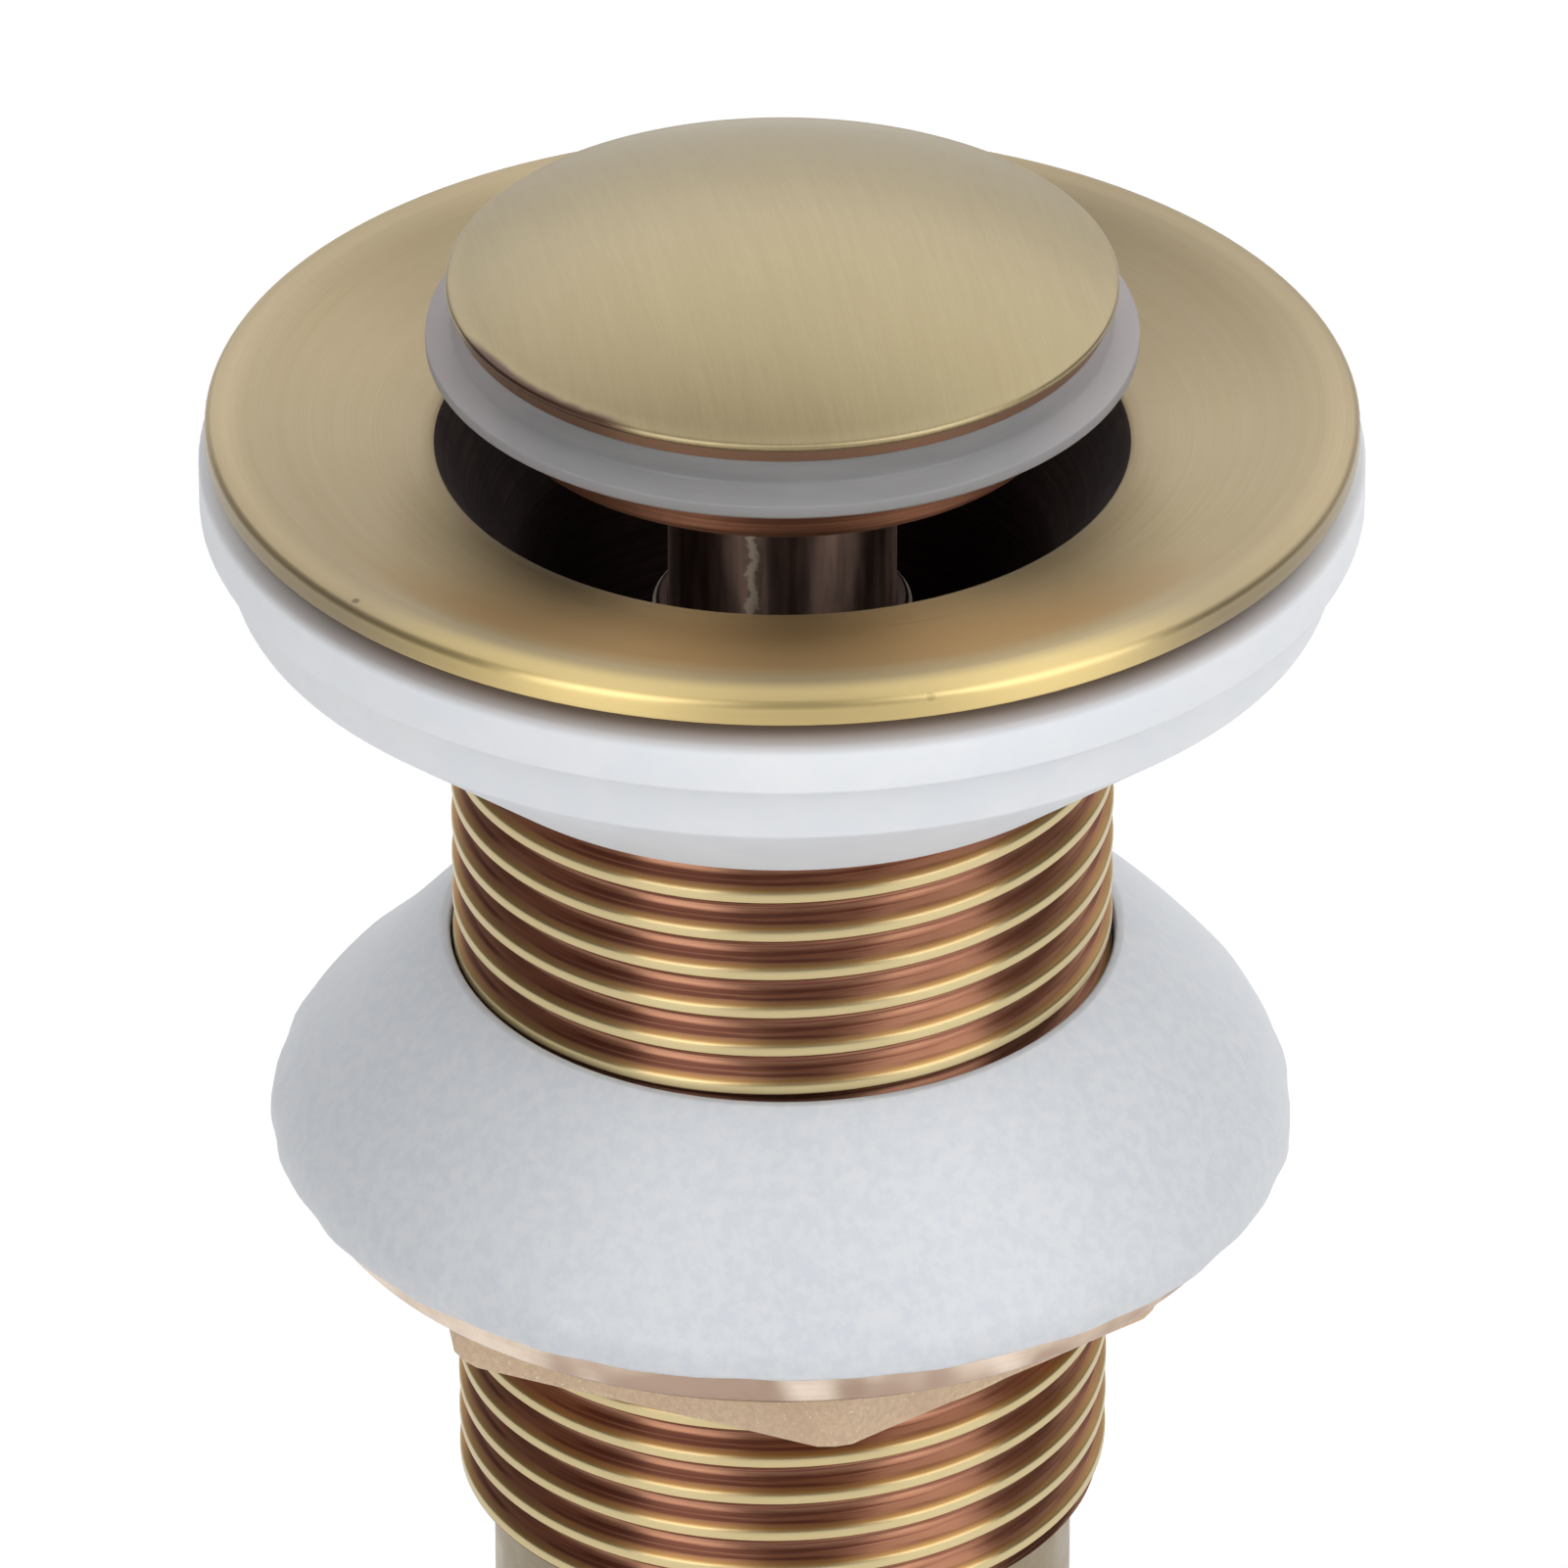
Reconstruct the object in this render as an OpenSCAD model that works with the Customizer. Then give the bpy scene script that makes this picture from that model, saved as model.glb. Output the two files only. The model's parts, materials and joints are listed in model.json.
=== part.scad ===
// Pop up basin waste: a spring plug in a flanged, threaded body with gaskets, back nut and tail.
// The axis of the waste is Z. Z = 0 is the underside of the flange's rim.

/* [Flange and body] */
// Outside diameter of the flange
flange_d = 65.2; // [64:0.2:70]
// Thickness of the rim at its crown
rim_t = 1.65; // [1.4:0.05:2]
// Radius of the gentle crown that runs round the rim
crown_r = 8; // [6:0.5:12]
// Distance of the crown's top from the edge of the flange
crown_in = 2; // [1.6:0.1:2.6]
// Radius of the rim's upper edge
rim_edge = 0.5; // [0.3:0.05:0.8]
// How far a rounding stands proud of the faces that it joins
rim_proud = 0.03; // [0.02:0.01:0.06]
// Width of the flat land under the rim
land_w = 2.1; // [1.5:0.1:3]
// Drop of the dished top from the crown to the edge of the hole
dish_depth = 2.05; // [1.4:0.05:2.6]
// Diameter of the hole in the flange
hole_d = 39.4; // [38.8:0.2:41]
// Half angle of the funnel throat
throat_angle = 30; // [26:1:34]
// Fall of the flange's underside from the rim to the shank
underside_drop = 5; // [4.5:0.1:6.5]
// Diameter over the crests of the shank's thread
shank_d = 38; // [37.4:0.1:39]
// Depth of the thread's end below the rim
shank_l = 68.7; // [66:0.1:90]
// Chamfer at the thread's end
shank_chamfer = 0.4; // [0.2:0.1:0.8]
// Diameter of the water way
bore_d = 30.4; // [29.4:0.1:31.4]
// Width of the ledge that carries the bridge
ledge_w = 0.8; // [0.5:0.1:1.2]
// Diameter of the plain neck
neck_d = 34; // [33.6:0.1:35]
// Length of the plain neck
neck_l = 9.5; // [9:0.1:16]
// Wall of the neck round the tail's socket
socket_wall = 1.25; // [1:0.05:1.4]
// Depth of the tail's socket
socket_l = 8; // [6:0.1:9]
// Width of the step that stops the tail in its socket
stop_w = 1.35; // [1:0.05:2]

/* [Plug] */
// Diameter of the cap
cap_d = 37.9; // [36.8:0.1:38.4]
// Thickness of the cap's rounded rim
cap_rim_t = 0.5; // [0.4:0.1:1]
// Rise of the dome above the rim
cap_rise = 3.3; // [2.4:0.1:5]
// Height of the band under the cap's rim
cap_band_h = 1; // [0.6:0.1:1.6]
// Inset of the band under the cap's rim
cap_band_inset = 0.45; // [0.2:0.05:0.8]
// How far the plug stands open above its closed place
plug_lift = 5.9; // [5:0.1:6.6]
// Cover of the seal's lip over the edge of the hole
lip_cover = 0.4; // [0.3:0.05:0.8]
// Height of the seal's outer lip
lip_h = 0.8; // [0.5:0.1:1.2]
// Width of the seal's lip at its lower edge
lip_w = 0.6; // [0.4:0.1:1]
// Rise of the seal's brim from its lip to the upright wall
brim_rise = 0.65; // [0.4:0.05:1]
// How far the upright wall of the seal leans out under the cap
wall_lean = 0.15; // [0.1:0.05:0.3]
// How far the lip hangs below the clamped part of the seal
lip_hang = 0.4; // [0.2:0.1:0.8]
// Thickness of the clamped part of the seal
seal_t = 2.4; // [2:0.1:3]
// Diameter of the base under the seal
base_d = 33.2; // [32:0.1:34]
// Thickness of the base
base_t = 3.9; // [3.4:0.05:4.6]
// Bevel on the base's lower edge
base_bevel = 0.6; // [0.3:0.1:1]
// Diameter of the boss that centres the seal
boss_d = 18; // [16:0.5:22]
// Diameter of the stud that ties cap, base and barrel
cap_stud_d = 6; // [5:0.5:7]
// Thread length of that stud in the cap
cap_stud_in = 2.8; // [2:0.1:3]
// Thread length of that stud in the barrel
cap_stud_out = 4.2; // [3:0.1:4.6]

/* [Cartridge] */
// Diameter of the push barrel
barrel_d = 13; // [12.4:0.1:13.6]
// Wall of the push barrel
barrel_wall = 1.2; // [1:0.1:1.5]
// Length of the barrel's solid head
barrel_head = 5; // [5:0.1:8]
// Step of the collar at the barrel's foot
collar_step = 0.4; // [0.3:0.05:0.6]
// Height of that collar
collar_h = 3; // [2:0.1:4]
// Depth of the gland's top below the flange's rim
gland_depth = 10.8; // [9:0.1:13]
// Wall of the gland's head
gland_wall = 0.85; // [0.7:0.05:1.4]
// Height of the gland's head
gland_head_h = 3.6; // [2:0.1:5]
// Chamfer on the top edges of gland and casing
gland_chamfer = 0.4; // [0.2:0.1:0.6]
// Length of the gland inside the casing
gland_l = 4.6; // [4:0.1:6]
// Wall of the casing
casing_wall = 1.3; // [1:0.1:1.8]
// Diameter of a guide pin
pin_d = 1.8; // [1.4:0.1:2]
// Reach of a guide pin into the drum
pin_reach = 1.5; // [1.2:0.1:1.8]
// Turn of the drum over the plug's travel
track_turn = 45; // [30:1:50]
// Wall above and below the drum's tracks
track_wall = 1.4; // [1.2:0.1:2]
// Sideways turn of the latch notch at the top of a track
notch_turn = 14; // [8:1:18]
// Bore of the drum
drum_bore_d = 4.4; // [3:0.1:5]
// Thickness of the thrust washer
thrust_t = 0.6; // [0.5:0.1:1]
// Length of the spring with the plug open
spring_l = 13; // [12.5:0.1:18]
// Wire of the spring
spring_wire = 0.9; // [0.7:0.05:1]
// Turns of the spring
spring_turns = 6; // [4:0.5:6.5]
// Thickness of the casing's end plug
end_plug_t = 3.4; // [3:0.1:5]
// Height of the spring's centring boss
spring_boss_h = 2; // [1:0.1:3]
// Diameter of the stud that holds the cartridge
holder_d = 10; // [8:0.5:11]
// Length of that stud past its lock nut
holder_out = 3.5; // [2:0.1:6]

/* [Bridge] */
// Height of the bridge
bridge_h = 8; // [6:0.1:9]
// Diameter of the bridge's hub
hub_d = 16.8; // [16:0.1:18]
// Wall of the bridge's ring
ring_wall = 1.6; // [1.2:0.1:2.2]
// Number of arms
arms = 4; // [3:1:5]
// Width of an arm
arm_w = 3; // [2.4:0.1:3.6]
// Height of the sharp ridge that sheds water from an arm
arm_ridge = 1.6; // [0.8:0.1:2.4]
// Size across the flats of the lock nut
height_nut_af = 15; // [14:0.5:16]
// Height of the lock nut
height_nut_h = 4.5; // [3:0.1:6]
// How far the lock nut's corners are chamfered
height_nut_bevel = 0.9; // [0.5:0.1:1.2]

/* [Gasket under the flange] */
// How far the gasket stands out past the flange
gasket_proud = 0.4; // [0.2:0.1:1]
// Drop of the gasket's top edge below the rim
gasket_lap = 1.1; // [0.8:0.1:1.6]
// Height of the gasket's upper tier
tier_h = 3.1; // [2.4:0.1:4]
// Step between the tiers
tier_step = 0.9; // [0.5:0.1:1.5]
// Height of the lower tier
lower_tier_h = 3.7; // [3:0.1:5]
// Draft of the lower tier
tier_draft = 0.8; // [0.3:0.1:1.4]
// Height of the tapered part
taper_h = 8.35; // [6:0.05:9]
// Wall of the gasket at its lower end
gasket_wall = 2.1; // [1.6:0.1:3]

/* [Lower washer and back nut] */
// Gap for the basin between gasket and washer
basin_gap = 16.45; // [16:0.05:20]
// Diameter of the washer
washer_d = 59.4; // [58:0.1:64]
// Height of the washer
washer_h = 12.2; // [10:0.1:12.6]
// Height of the washer's upright rim
washer_rim_h = 1.6; // [1:0.1:3]
// Width of the washer's top land
washer_land = 0.6; // [0.4:0.1:1.5]
// Bulge of the washer's face past a straight cone
washer_bulge = 1.2; // [0.6:0.1:2]
// Clearance of the washer on the thread
washer_gap = 0.9; // [0.6:0.1:1.2]
// Diameter of the nut's flange
nut_flange_d = 56; // [54:0.1:58]
// Thickness of the nut's flange
nut_flange_t = 2.7; // [2:0.1:4]
// Bevel on the edges of the nut's flange
nut_edge = 0.5; // [0.2:0.1:0.8]
// Size across the flats of the nut
nut_af = 41; // [40.6:0.1:44]
// Height of the nut's hexagon
nut_hex_h = 6.2; // [5:0.1:8]
// How far the nut's corners are rounded off
nut_corner_trim = 0.45; // [0.2:0.05:1]
// Angle at which the nut stands
nut_angle = 37.5; // [0:0.5:60]

/* [Tail] */
// Outside diameter of the tail pipe
tail_d = 32; // [31.6:0.1:32.4]
// Wall of the tail pipe
tail_wall = 1.2; // [0.8:0.1:1.4]
// Step from the tail down to its spigot in the socket
spigot_step = 0.28; // [0.2:0.01:0.4]
// Length of the tail below the neck
tail_l = 70; // [40:1:130]
// Thickness of the ring in the tail's socket
tail_ring_t = 1.5; // [1:0.1:2.5]

/* [Clearances] */
// Radial clearance of the barrel in its gland
slide_gap = 0.05; // [0.02:0.01:0.08]
// Radial clearance of the nut's thread and of the barrel's collar
thread_gap = 0.08; // [0.05:0.01:0.1]
// Clearance between pieces that are screwed or pushed together
fit_gap = 0.03; // [0.02:0.01:0.05]
// Clearance of faces that rest on each other and move apart
face_gap = 0.05; // [0.02:0.01:0.1]
// Room between the closed lip and the edge of the hole
lip_gap = 0.3; // [0.2:0.05:0.5]
// Room round the drum and the ends of its tracks
drum_gap = 0.3; // [0.2:0.05:0.4]

/* [Hidden] */
$fn = 96;
ARC_FN = 720;
WIRE_SIDES = 8;
TURN_STEPS = 20;
TRACK_SLICES = 24;
TRACK_FN = 4;
EPS = 0.01;

flange_r = flange_d / 2;
hole_r = hole_d / 2;
shank_r = shank_d / 2;
bore_r = bore_d / 2;
neck_r = neck_d / 2;
tail_r = tail_d / 2;
tail_bore_r = tail_r - tail_wall;
spigot_r = tail_r - spigot_step;
socket_r = spigot_r + fit_gap;
bell_r = socket_r + socket_wall;
low_bore_r = min(bore_r - ledge_w, socket_r - stop_w);
edge_z = rim_t - dish_depth;
throat_z = edge_z - (hole_r - bore_r) / tan(throat_angle);
neck_z = -shank_l - neck_l;
socket_z = neck_z + socket_l;

// Rim: a crown, a rounded upper edge and a plain side
land_r = flange_r - land_w;
side_r = flange_r - rim_proud;
crown_mid_r = flange_r - crown_in;
crown_z = rim_t - crown_r;
edge_mid_r = flange_r - rim_edge;
edge_mid_z = crown_z + sqrt(pow(crown_r, 2) - pow(edge_mid_r - crown_mid_r, 2)) + rim_proud - rim_edge;

// The dish is the surface of a ball that passes the edge of the hole and touches the crown;
// the height of its middle solves the touching condition, a quadratic equation
touch_r = crown_r - rim_proud;
touch_m = 2 * (edge_z - crown_z);
touch_k = pow(crown_mid_r, 2) + pow(crown_z, 2) - pow(edge_z, 2) - pow(hole_r, 2) + pow(touch_r, 2);
touch_a = pow(touch_m, 2) - 4 * pow(touch_r, 2);
touch_b = 2 * touch_k * touch_m + 8 * pow(touch_r, 2) * crown_z;
touch_c = pow(touch_k, 2) - 4 * pow(touch_r, 2) * (pow(crown_mid_r, 2) + pow(crown_z, 2));
dish_mid_z = (-touch_b - sqrt(pow(touch_b, 2) - 4 * touch_a * touch_c)) / (2 * touch_a);
dish_ball_r = sqrt(pow(hole_r, 2) + pow(dish_mid_z - edge_z, 2));
touch_at_r = crown_mid_r * dish_ball_r / (dish_ball_r + touch_r);

// Plug, from the open lip upwards
lip_z = edge_z + lip_gap + plug_lift;
lip_r = hole_r + lip_cover;
clamp_z = lip_z + lip_hang;
cap_z = clamp_z + seal_t;
cap_rim_z = cap_z + cap_band_h;
cap_r = cap_d / 2;
cap_band_r = cap_r - cap_band_inset;
dome_r = cap_r - cap_rim_t / 2;
dome_ball_r = (dome_r * dome_r + cap_rise * cap_rise) / (2 * cap_rise);
base_r = base_d / 2;
base_z = clamp_z - base_t;
boss_r = boss_d / 2;
cap_stud_r = cap_stud_d / 2;

// Cartridge, from the gland downwards
barrel_r = barrel_d / 2;
gland_bore_r = barrel_r + slide_gap;
gland_head_r = gland_bore_r + gland_wall;
collar_r = barrel_r + collar_step;
casing_bore_r = collar_r + thread_gap;
casing_r = casing_bore_r + casing_wall;
casing_z = -gland_depth - gland_head_h;
gland_z = casing_z - gland_l;
collar_z = gland_z - face_gap;
barrel_z = collar_z - collar_h;
drum_top_z = barrel_z - face_gap;
drum_r = casing_bore_r - drum_gap;
pin_r = pin_d / 2;
pin_tip_r = drum_r - pin_reach;
track_top_z = drum_top_z - track_wall;
pin_z = track_top_z - plug_lift - drum_gap - pin_r;
track_z = pin_z - pin_r - drum_gap;
track_l = track_top_z - track_z;
track_floor_r = pin_tip_r - drum_gap;
track_rate = track_turn / plug_lift;
track_slope = atan(drum_r * track_rate * PI / 180);
track_w = (pin_d + 2 * drum_gap) / cos(track_slope);
drum_z = track_z - track_wall;
thrust_top_z = drum_z - face_gap;
thrust_z = thrust_top_z - thrust_t;
floor_z = thrust_z - spring_l;
casing_end_z = floor_z - end_plug_t;
spring_r = drum_r - drum_gap - spring_wire;
spring_boss_r = spring_r - spring_wire;
holder_r = holder_d / 2;

// Bridge and tail
bridge_z = casing_end_z - bridge_h;
hub_r = hub_d / 2;
ring_r = bore_r - fit_gap;
height_nut_z = bridge_z - height_nut_h;
tail_ring_z = socket_z - tail_ring_t;
tail_end_z = neck_z - tail_l;

// Gasket, washer and nut
gasket_r = flange_r + gasket_proud;
gasket_bore_r = shank_r + fit_gap;
gasket_top_z = -gasket_lap;
tier_z = gasket_top_z - tier_h;
lower_tier_z = tier_z - lower_tier_h;
gasket_z = lower_tier_z - taper_h;
lower_tier_r = gasket_r - tier_step;
taper_r = lower_tier_r - tier_draft;
underside_slope = underside_drop / (land_r - shank_r);
washer_top_z = gasket_z - basin_gap;
washer_z = washer_top_z - washer_h;
washer_r = washer_d / 2;
washer_bore_r = shank_r + washer_gap;
washer_top_r = washer_bore_r + washer_land;
washer_rim_z = washer_z + washer_rim_h;
nut_flange_z = washer_z - nut_flange_t;
nut_z = nut_flange_z - nut_hex_h;
nut_bore_r = shank_r + thread_gap;
nut_corner_r = nut_af / 2 / cos(30) - nut_corner_trim;

// Flat ring or tube between two heights
module tube(outer_r, inner_r, low_z, high_z) {
    translate([0, 0, low_z])
        difference() {
            cylinder(r = outer_r, h = high_z - low_z);
            translate([0, 0, -EPS])
                cylinder(r = inner_r, h = high_z - low_z + 2 * EPS);
        }
}

// Hexagon between two heights with its corners turned off
module hexagon(flats, corner_r, low_z, high_z) {
    translate([0, 0, low_z])
        intersection() {
            cylinder(r = flats / 2 / cos(30), h = high_z - low_z, $fn = 6);
            cylinder(r = corner_r, h = high_z - low_z);
        }
}

// Round hole from one height to another
module hole(r, low_z, high_z) {
    translate([0, 0, low_z - EPS])
        cylinder(r = r, h = high_z - low_z + 2 * EPS);
}

// Outside of the neck, with a bell round the tail's socket where the neck is too narrow for it
function neck_edge() = bell_r > neck_r + EPS
    ? [[neck_r, socket_z + stop_w], [bell_r, socket_z], [bell_r, neck_z]]
    : [[neck_r, neck_z]];

// Half section of dish, throat, shank and neck, as far out as the rim
module body_section() {
    difference() {
        polygon([
            [hole_r + dish_depth * tan(throat_angle), rim_t],
            [touch_at_r, rim_t],
            [touch_at_r, rim_t / 2],
            [land_r, rim_t / 2],
            [land_r, 0],
            [shank_r, -underside_drop],
            [shank_r, -shank_l + shank_chamfer],
            [shank_r - shank_chamfer, -shank_l],
            [neck_r, -shank_l],
            each neck_edge(),
            [socket_r, neck_z],
            [socket_r, socket_z],
            [low_bore_r, socket_z],
            [low_bore_r, bridge_z],
            [bore_r, bridge_z],
            [bore_r, throat_z]
        ]);
        translate([0, dish_mid_z])
            circle(r = dish_ball_r, $fn = ARC_FN);
    }
}

// Half section of the crown, from inside the dish to the rounded edge
module crown_section() {
    inner_r = touch_at_r - crown_in;
    intersection() {
        translate([crown_mid_r, crown_z])
            circle(r = crown_r, $fn = ARC_FN);
        translate([inner_r, 0])
            square([edge_mid_r - inner_r, 2 * rim_t]);
    }
}

module waste_body() {
    color("#b9a27c")
        union() {
            rotate_extrude()
                body_section();
            rotate_extrude()
                crown_section();
            rotate_extrude()
                translate([edge_mid_r, edge_mid_z])
                    circle(r = rim_edge);
            tube(side_r, land_r, 0, edge_mid_z);
        }
}

// One arm of the bridge, along X, with a ridge that sheds water
module arm() {
    rotate([90, 0, 90])
        linear_extrude(height = ring_r - ring_wall / 2)
            polygon([
                [-arm_w / 2, bridge_z],
                [arm_w / 2, bridge_z],
                [arm_w / 2, casing_end_z - arm_ridge],
                [0, casing_end_z],
                [-arm_w / 2, casing_end_z - arm_ridge]
            ]);
}

module bridge() {
    color("#8a7350")
        difference() {
            union() {
                tube(ring_r, ring_r - ring_wall, bridge_z, casing_end_z);
                translate([0, 0, bridge_z])
                    cylinder(r = hub_r, h = bridge_h);
                for (i = [0 : arms - 1])
                    rotate((i + 0.5) * 360 / arms)
                        arm();
            }
            hole(holder_r + fit_gap, bridge_z, casing_end_z);
        }
}

module gland_bush() {
    color("#a88a58")
        rotate_extrude()
            polygon([
                [gland_bore_r, gland_z],
                [casing_bore_r - fit_gap, gland_z],
                [casing_bore_r - fit_gap, casing_z],
                [gland_head_r, casing_z],
                [gland_head_r, -gland_depth - gland_chamfer],
                [gland_head_r - gland_chamfer, -gland_depth],
                [gland_bore_r, -gland_depth]
            ]);
}

// Places what is handed to it at both guide pins
module at_pins() {
    for (i = [0, 1])
        rotate(180 * i)
            translate([0, 0, pin_z])
                rotate([0, 90, 0])
                    children();
}

module cartridge_casing() {
    color("#8c6f45")
        difference() {
            rotate_extrude()
                polygon([
                    [casing_bore_r, casing_end_z],
                    [casing_r, casing_end_z],
                    [casing_r, casing_z - gland_chamfer],
                    [casing_r - gland_chamfer, casing_z],
                    [casing_bore_r, casing_z]
                ]);
            at_pins()
                cylinder(r = pin_r + fit_gap, h = casing_r + EPS);
        }
}

module guide_pins() {
    color("#c9ccd0")
        intersection() {
            at_pins()
                translate([0, 0, pin_tip_r])
                    cylinder(r = pin_r, h = casing_r - pin_tip_r + EPS);
            translate([0, 0, casing_end_z])
                cylinder(r = casing_r, h = casing_z - casing_end_z);
        }
}

module cartridge_stud() {
    holder_end_z = height_nut_z - holder_out;
    color("#a5855a")
        rotate_extrude()
            polygon([
                [0, holder_end_z],
                [holder_r, holder_end_z],
                [holder_r, casing_end_z],
                [casing_bore_r - fit_gap, casing_end_z],
                [casing_bore_r - fit_gap, floor_z],
                [spring_boss_r, floor_z],
                [spring_boss_r, floor_z + spring_boss_h],
                [0, floor_z + spring_boss_h]
            ]);
}

module height_nut() {
    corner_r = height_nut_af / 2 / cos(30);
    bevel_h = height_nut_bevel * tan(30);
    color("#b59a6a")
        difference() {
            intersection() {
                hexagon(height_nut_af, corner_r, height_nut_z, bridge_z);
                rotate_extrude()
                    polygon([
                        [0, height_nut_z],
                        [corner_r - height_nut_bevel, height_nut_z],
                        [corner_r, height_nut_z + bevel_h],
                        [corner_r, bridge_z],
                        [0, bridge_z]
                    ]);
            }
            hole(holder_r + fit_gap, height_nut_z, bridge_z);
        }
}

// One ring of points round the spring's wire, at a share of its length
function wire_ring(share) = [
    for (i = [0 : WIRE_SIDES - 1])
        let (
            turn = 360 * spring_turns * share,
            side = 360 * i / WIRE_SIDES,
            r = spring_r + spring_wire / 2 * cos(side),
            rise = spring_l - spring_wire - 2 * face_gap
        )
        [
            r * cos(turn),
            r * sin(turn),
            floor_z + face_gap + spring_wire / 2 + rise * share + spring_wire / 2 * sin(side)
        ]
];

module return_spring() {
    rings = spring_turns * TURN_STEPS;
    points = [
        for (k = [0 : rings])
            each wire_ring(k / rings)
    ];
    sides = [
        for (k = [0 : rings - 1])
            for (i = [0 : WIRE_SIDES - 1])
                let (
                    next = (i + 1) % WIRE_SIDES,
                    low = k * WIRE_SIDES,
                    high = low + WIRE_SIDES
                )
                [low + i, low + next, high + next, high + i]
    ];
    first_end = [for (i = [WIRE_SIDES - 1 : -1 : 0]) i];
    last_end = [for (i = [0 : WIRE_SIDES - 1]) rings * WIRE_SIDES + i];
    color("#aeb2b6")
        polyhedron(points = points, faces = concat(sides, [first_end, last_end]), convexity = 10);
}

// Height of the gasket's top under the flange at a radius
function under_flange_z(r) = -underside_slope * (land_r - r) - fit_gap;

module basin_gasket() {
    color("#e2e6ea")
        rotate_extrude()
            polygon([
                [gasket_bore_r, under_flange_z(gasket_bore_r)],
                [land_r, under_flange_z(land_r)],
                [gasket_r, gasket_top_z],
                [gasket_r, tier_z],
                [lower_tier_r, tier_z],
                [taper_r, lower_tier_z],
                [shank_r + gasket_wall, gasket_z],
                [gasket_bore_r, gasket_z]
            ]);
}

module tail_ring() {
    color("#2b2b2b")
        tube(spigot_r, low_bore_r, tail_ring_z, socket_z);
}

module tail_pipe() {
    color("#b3a17a")
        rotate_extrude()
            polygon([
                [tail_bore_r, tail_end_z],
                [tail_r, tail_end_z],
                [tail_r, neck_z],
                [spigot_r, neck_z],
                [spigot_r, tail_ring_z],
                [tail_bore_r, tail_ring_z]
            ]);
}

module plug_cap() {
    dome_z = cap_rim_z + cap_rim_t;
    color("#c4b083")
        difference() {
            rotate_extrude()
                union() {
                    translate([0, cap_z])
                        square([cap_band_r, cap_band_h]);
                    translate([0, cap_rim_z])
                        square([dome_r, cap_rim_t]);
                    translate([dome_r, cap_rim_z + cap_rim_t / 2])
                        circle(d = cap_rim_t);
                    intersection() {
                        translate([0, dome_z + cap_rise - dome_ball_r])
                            circle(r = dome_ball_r, $fn = ARC_FN);
                        translate([0, dome_z])
                            square([dome_r, cap_rise]);
                    }
                }
            hole(cap_stud_r + fit_gap, cap_z, cap_z + cap_stud_in);
        }
}

module plug_seal() {
    color("#a9a9a5")
        rotate_extrude()
            polygon([
                [boss_r + fit_gap, clamp_z],
                [base_r, clamp_z],
                [lip_r - lip_w, lip_z],
                [lip_r, lip_z],
                [lip_r, lip_z + lip_h],
                [cap_band_r + wall_lean, lip_z + lip_h + brim_rise],
                [cap_band_r, cap_z],
                [boss_r + fit_gap, cap_z]
            ]);
}

module plug_base() {
    color("#5a3a26")
        difference() {
            rotate_extrude()
                polygon([
                    [0, base_z],
                    [base_r - base_bevel, base_z],
                    [base_r, base_z + base_bevel],
                    [base_r, clamp_z],
                    [boss_r, clamp_z],
                    [boss_r, cap_z],
                    [0, cap_z]
                ]);
            hole(cap_stud_r + fit_gap, base_z, cap_z);
        }
}

module cap_stud() {
    color("#9aa0a4")
        translate([0, 0, base_z - cap_stud_out])
            cylinder(r = cap_stud_r, h = cap_z + cap_stud_in - base_z + cap_stud_out);
}

module push_barrel() {
    head_z = base_z - barrel_head;
    color("#3a2a24")
        difference() {
            union() {
                translate([0, 0, barrel_z])
                    cylinder(r = barrel_r, h = base_z - barrel_z);
                translate([0, 0, barrel_z])
                    cylinder(r = collar_r, h = collar_h);
            }
            hole(barrel_r - barrel_wall, barrel_z, head_z);
            hole(cap_stud_r + fit_gap, base_z - cap_stud_out, base_z);
        }
}

module thrust_washer() {
    color("#c9ccd0")
        tube(drum_r, drum_bore_d / 2, thrust_z, thrust_top_z);
}

// Wedge round the drum from X through an angle, between the track's floor and the drum's outside
module sector(angle, h) {
    rotate_extrude(angle = angle)
        translate([track_floor_r, 0])
            square([drum_r, h]);
}

// Slanted track and its latch notch, cut from the drum for one guide pin
module track() {
    notch_h = pin_d + 2 * drum_gap;
    rotate(-track_rate * (pin_z - track_z))
        translate([0, 0, track_z])
            linear_extrude(
                height = track_l,
                twist = -track_rate * track_l,
                slices = TRACK_SLICES,
                $fn = TRACK_FN
            )
                translate([track_floor_r, -track_w / 2])
                    square([drum_r, track_w]);
    translate([0, 0, track_top_z - notch_h])
        rotate(track_turn)
            sector(notch_turn, notch_h);
}

module latch_drum() {
    color("#e8e4d8")
        difference() {
            tube(drum_r, drum_bore_d / 2, drum_z, drum_top_z);
            for (i = [0, 1])
                rotate(180 * i)
                    track();
        }
}

// Washer face: a circle's arc through rim and top land, bulged past the chord
module washer_face() {
    run = washer_r - washer_top_r;
    rise = washer_top_z - washer_rim_z;
    chord = sqrt(run * run + rise * rise);
    face_r = (chord * chord / 4 + washer_bulge * washer_bulge) / (2 * washer_bulge);
    inset = face_r - washer_bulge;
    middle = [(washer_r + washer_top_r) / 2, (washer_rim_z + washer_top_z) / 2];
    translate(middle - inset * [rise, run] / chord)
        circle(r = face_r, $fn = ARC_FN);
}

module lower_washer() {
    color("#cfd2d4")
        rotate_extrude()
            union() {
                translate([washer_bore_r, washer_z])
                    square([washer_r - washer_bore_r, washer_rim_h]);
                intersection() {
                    translate([washer_bore_r, washer_rim_z])
                        square([washer_r - washer_bore_r, washer_h - washer_rim_h]);
                    washer_face();
                }
            }
}

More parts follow.
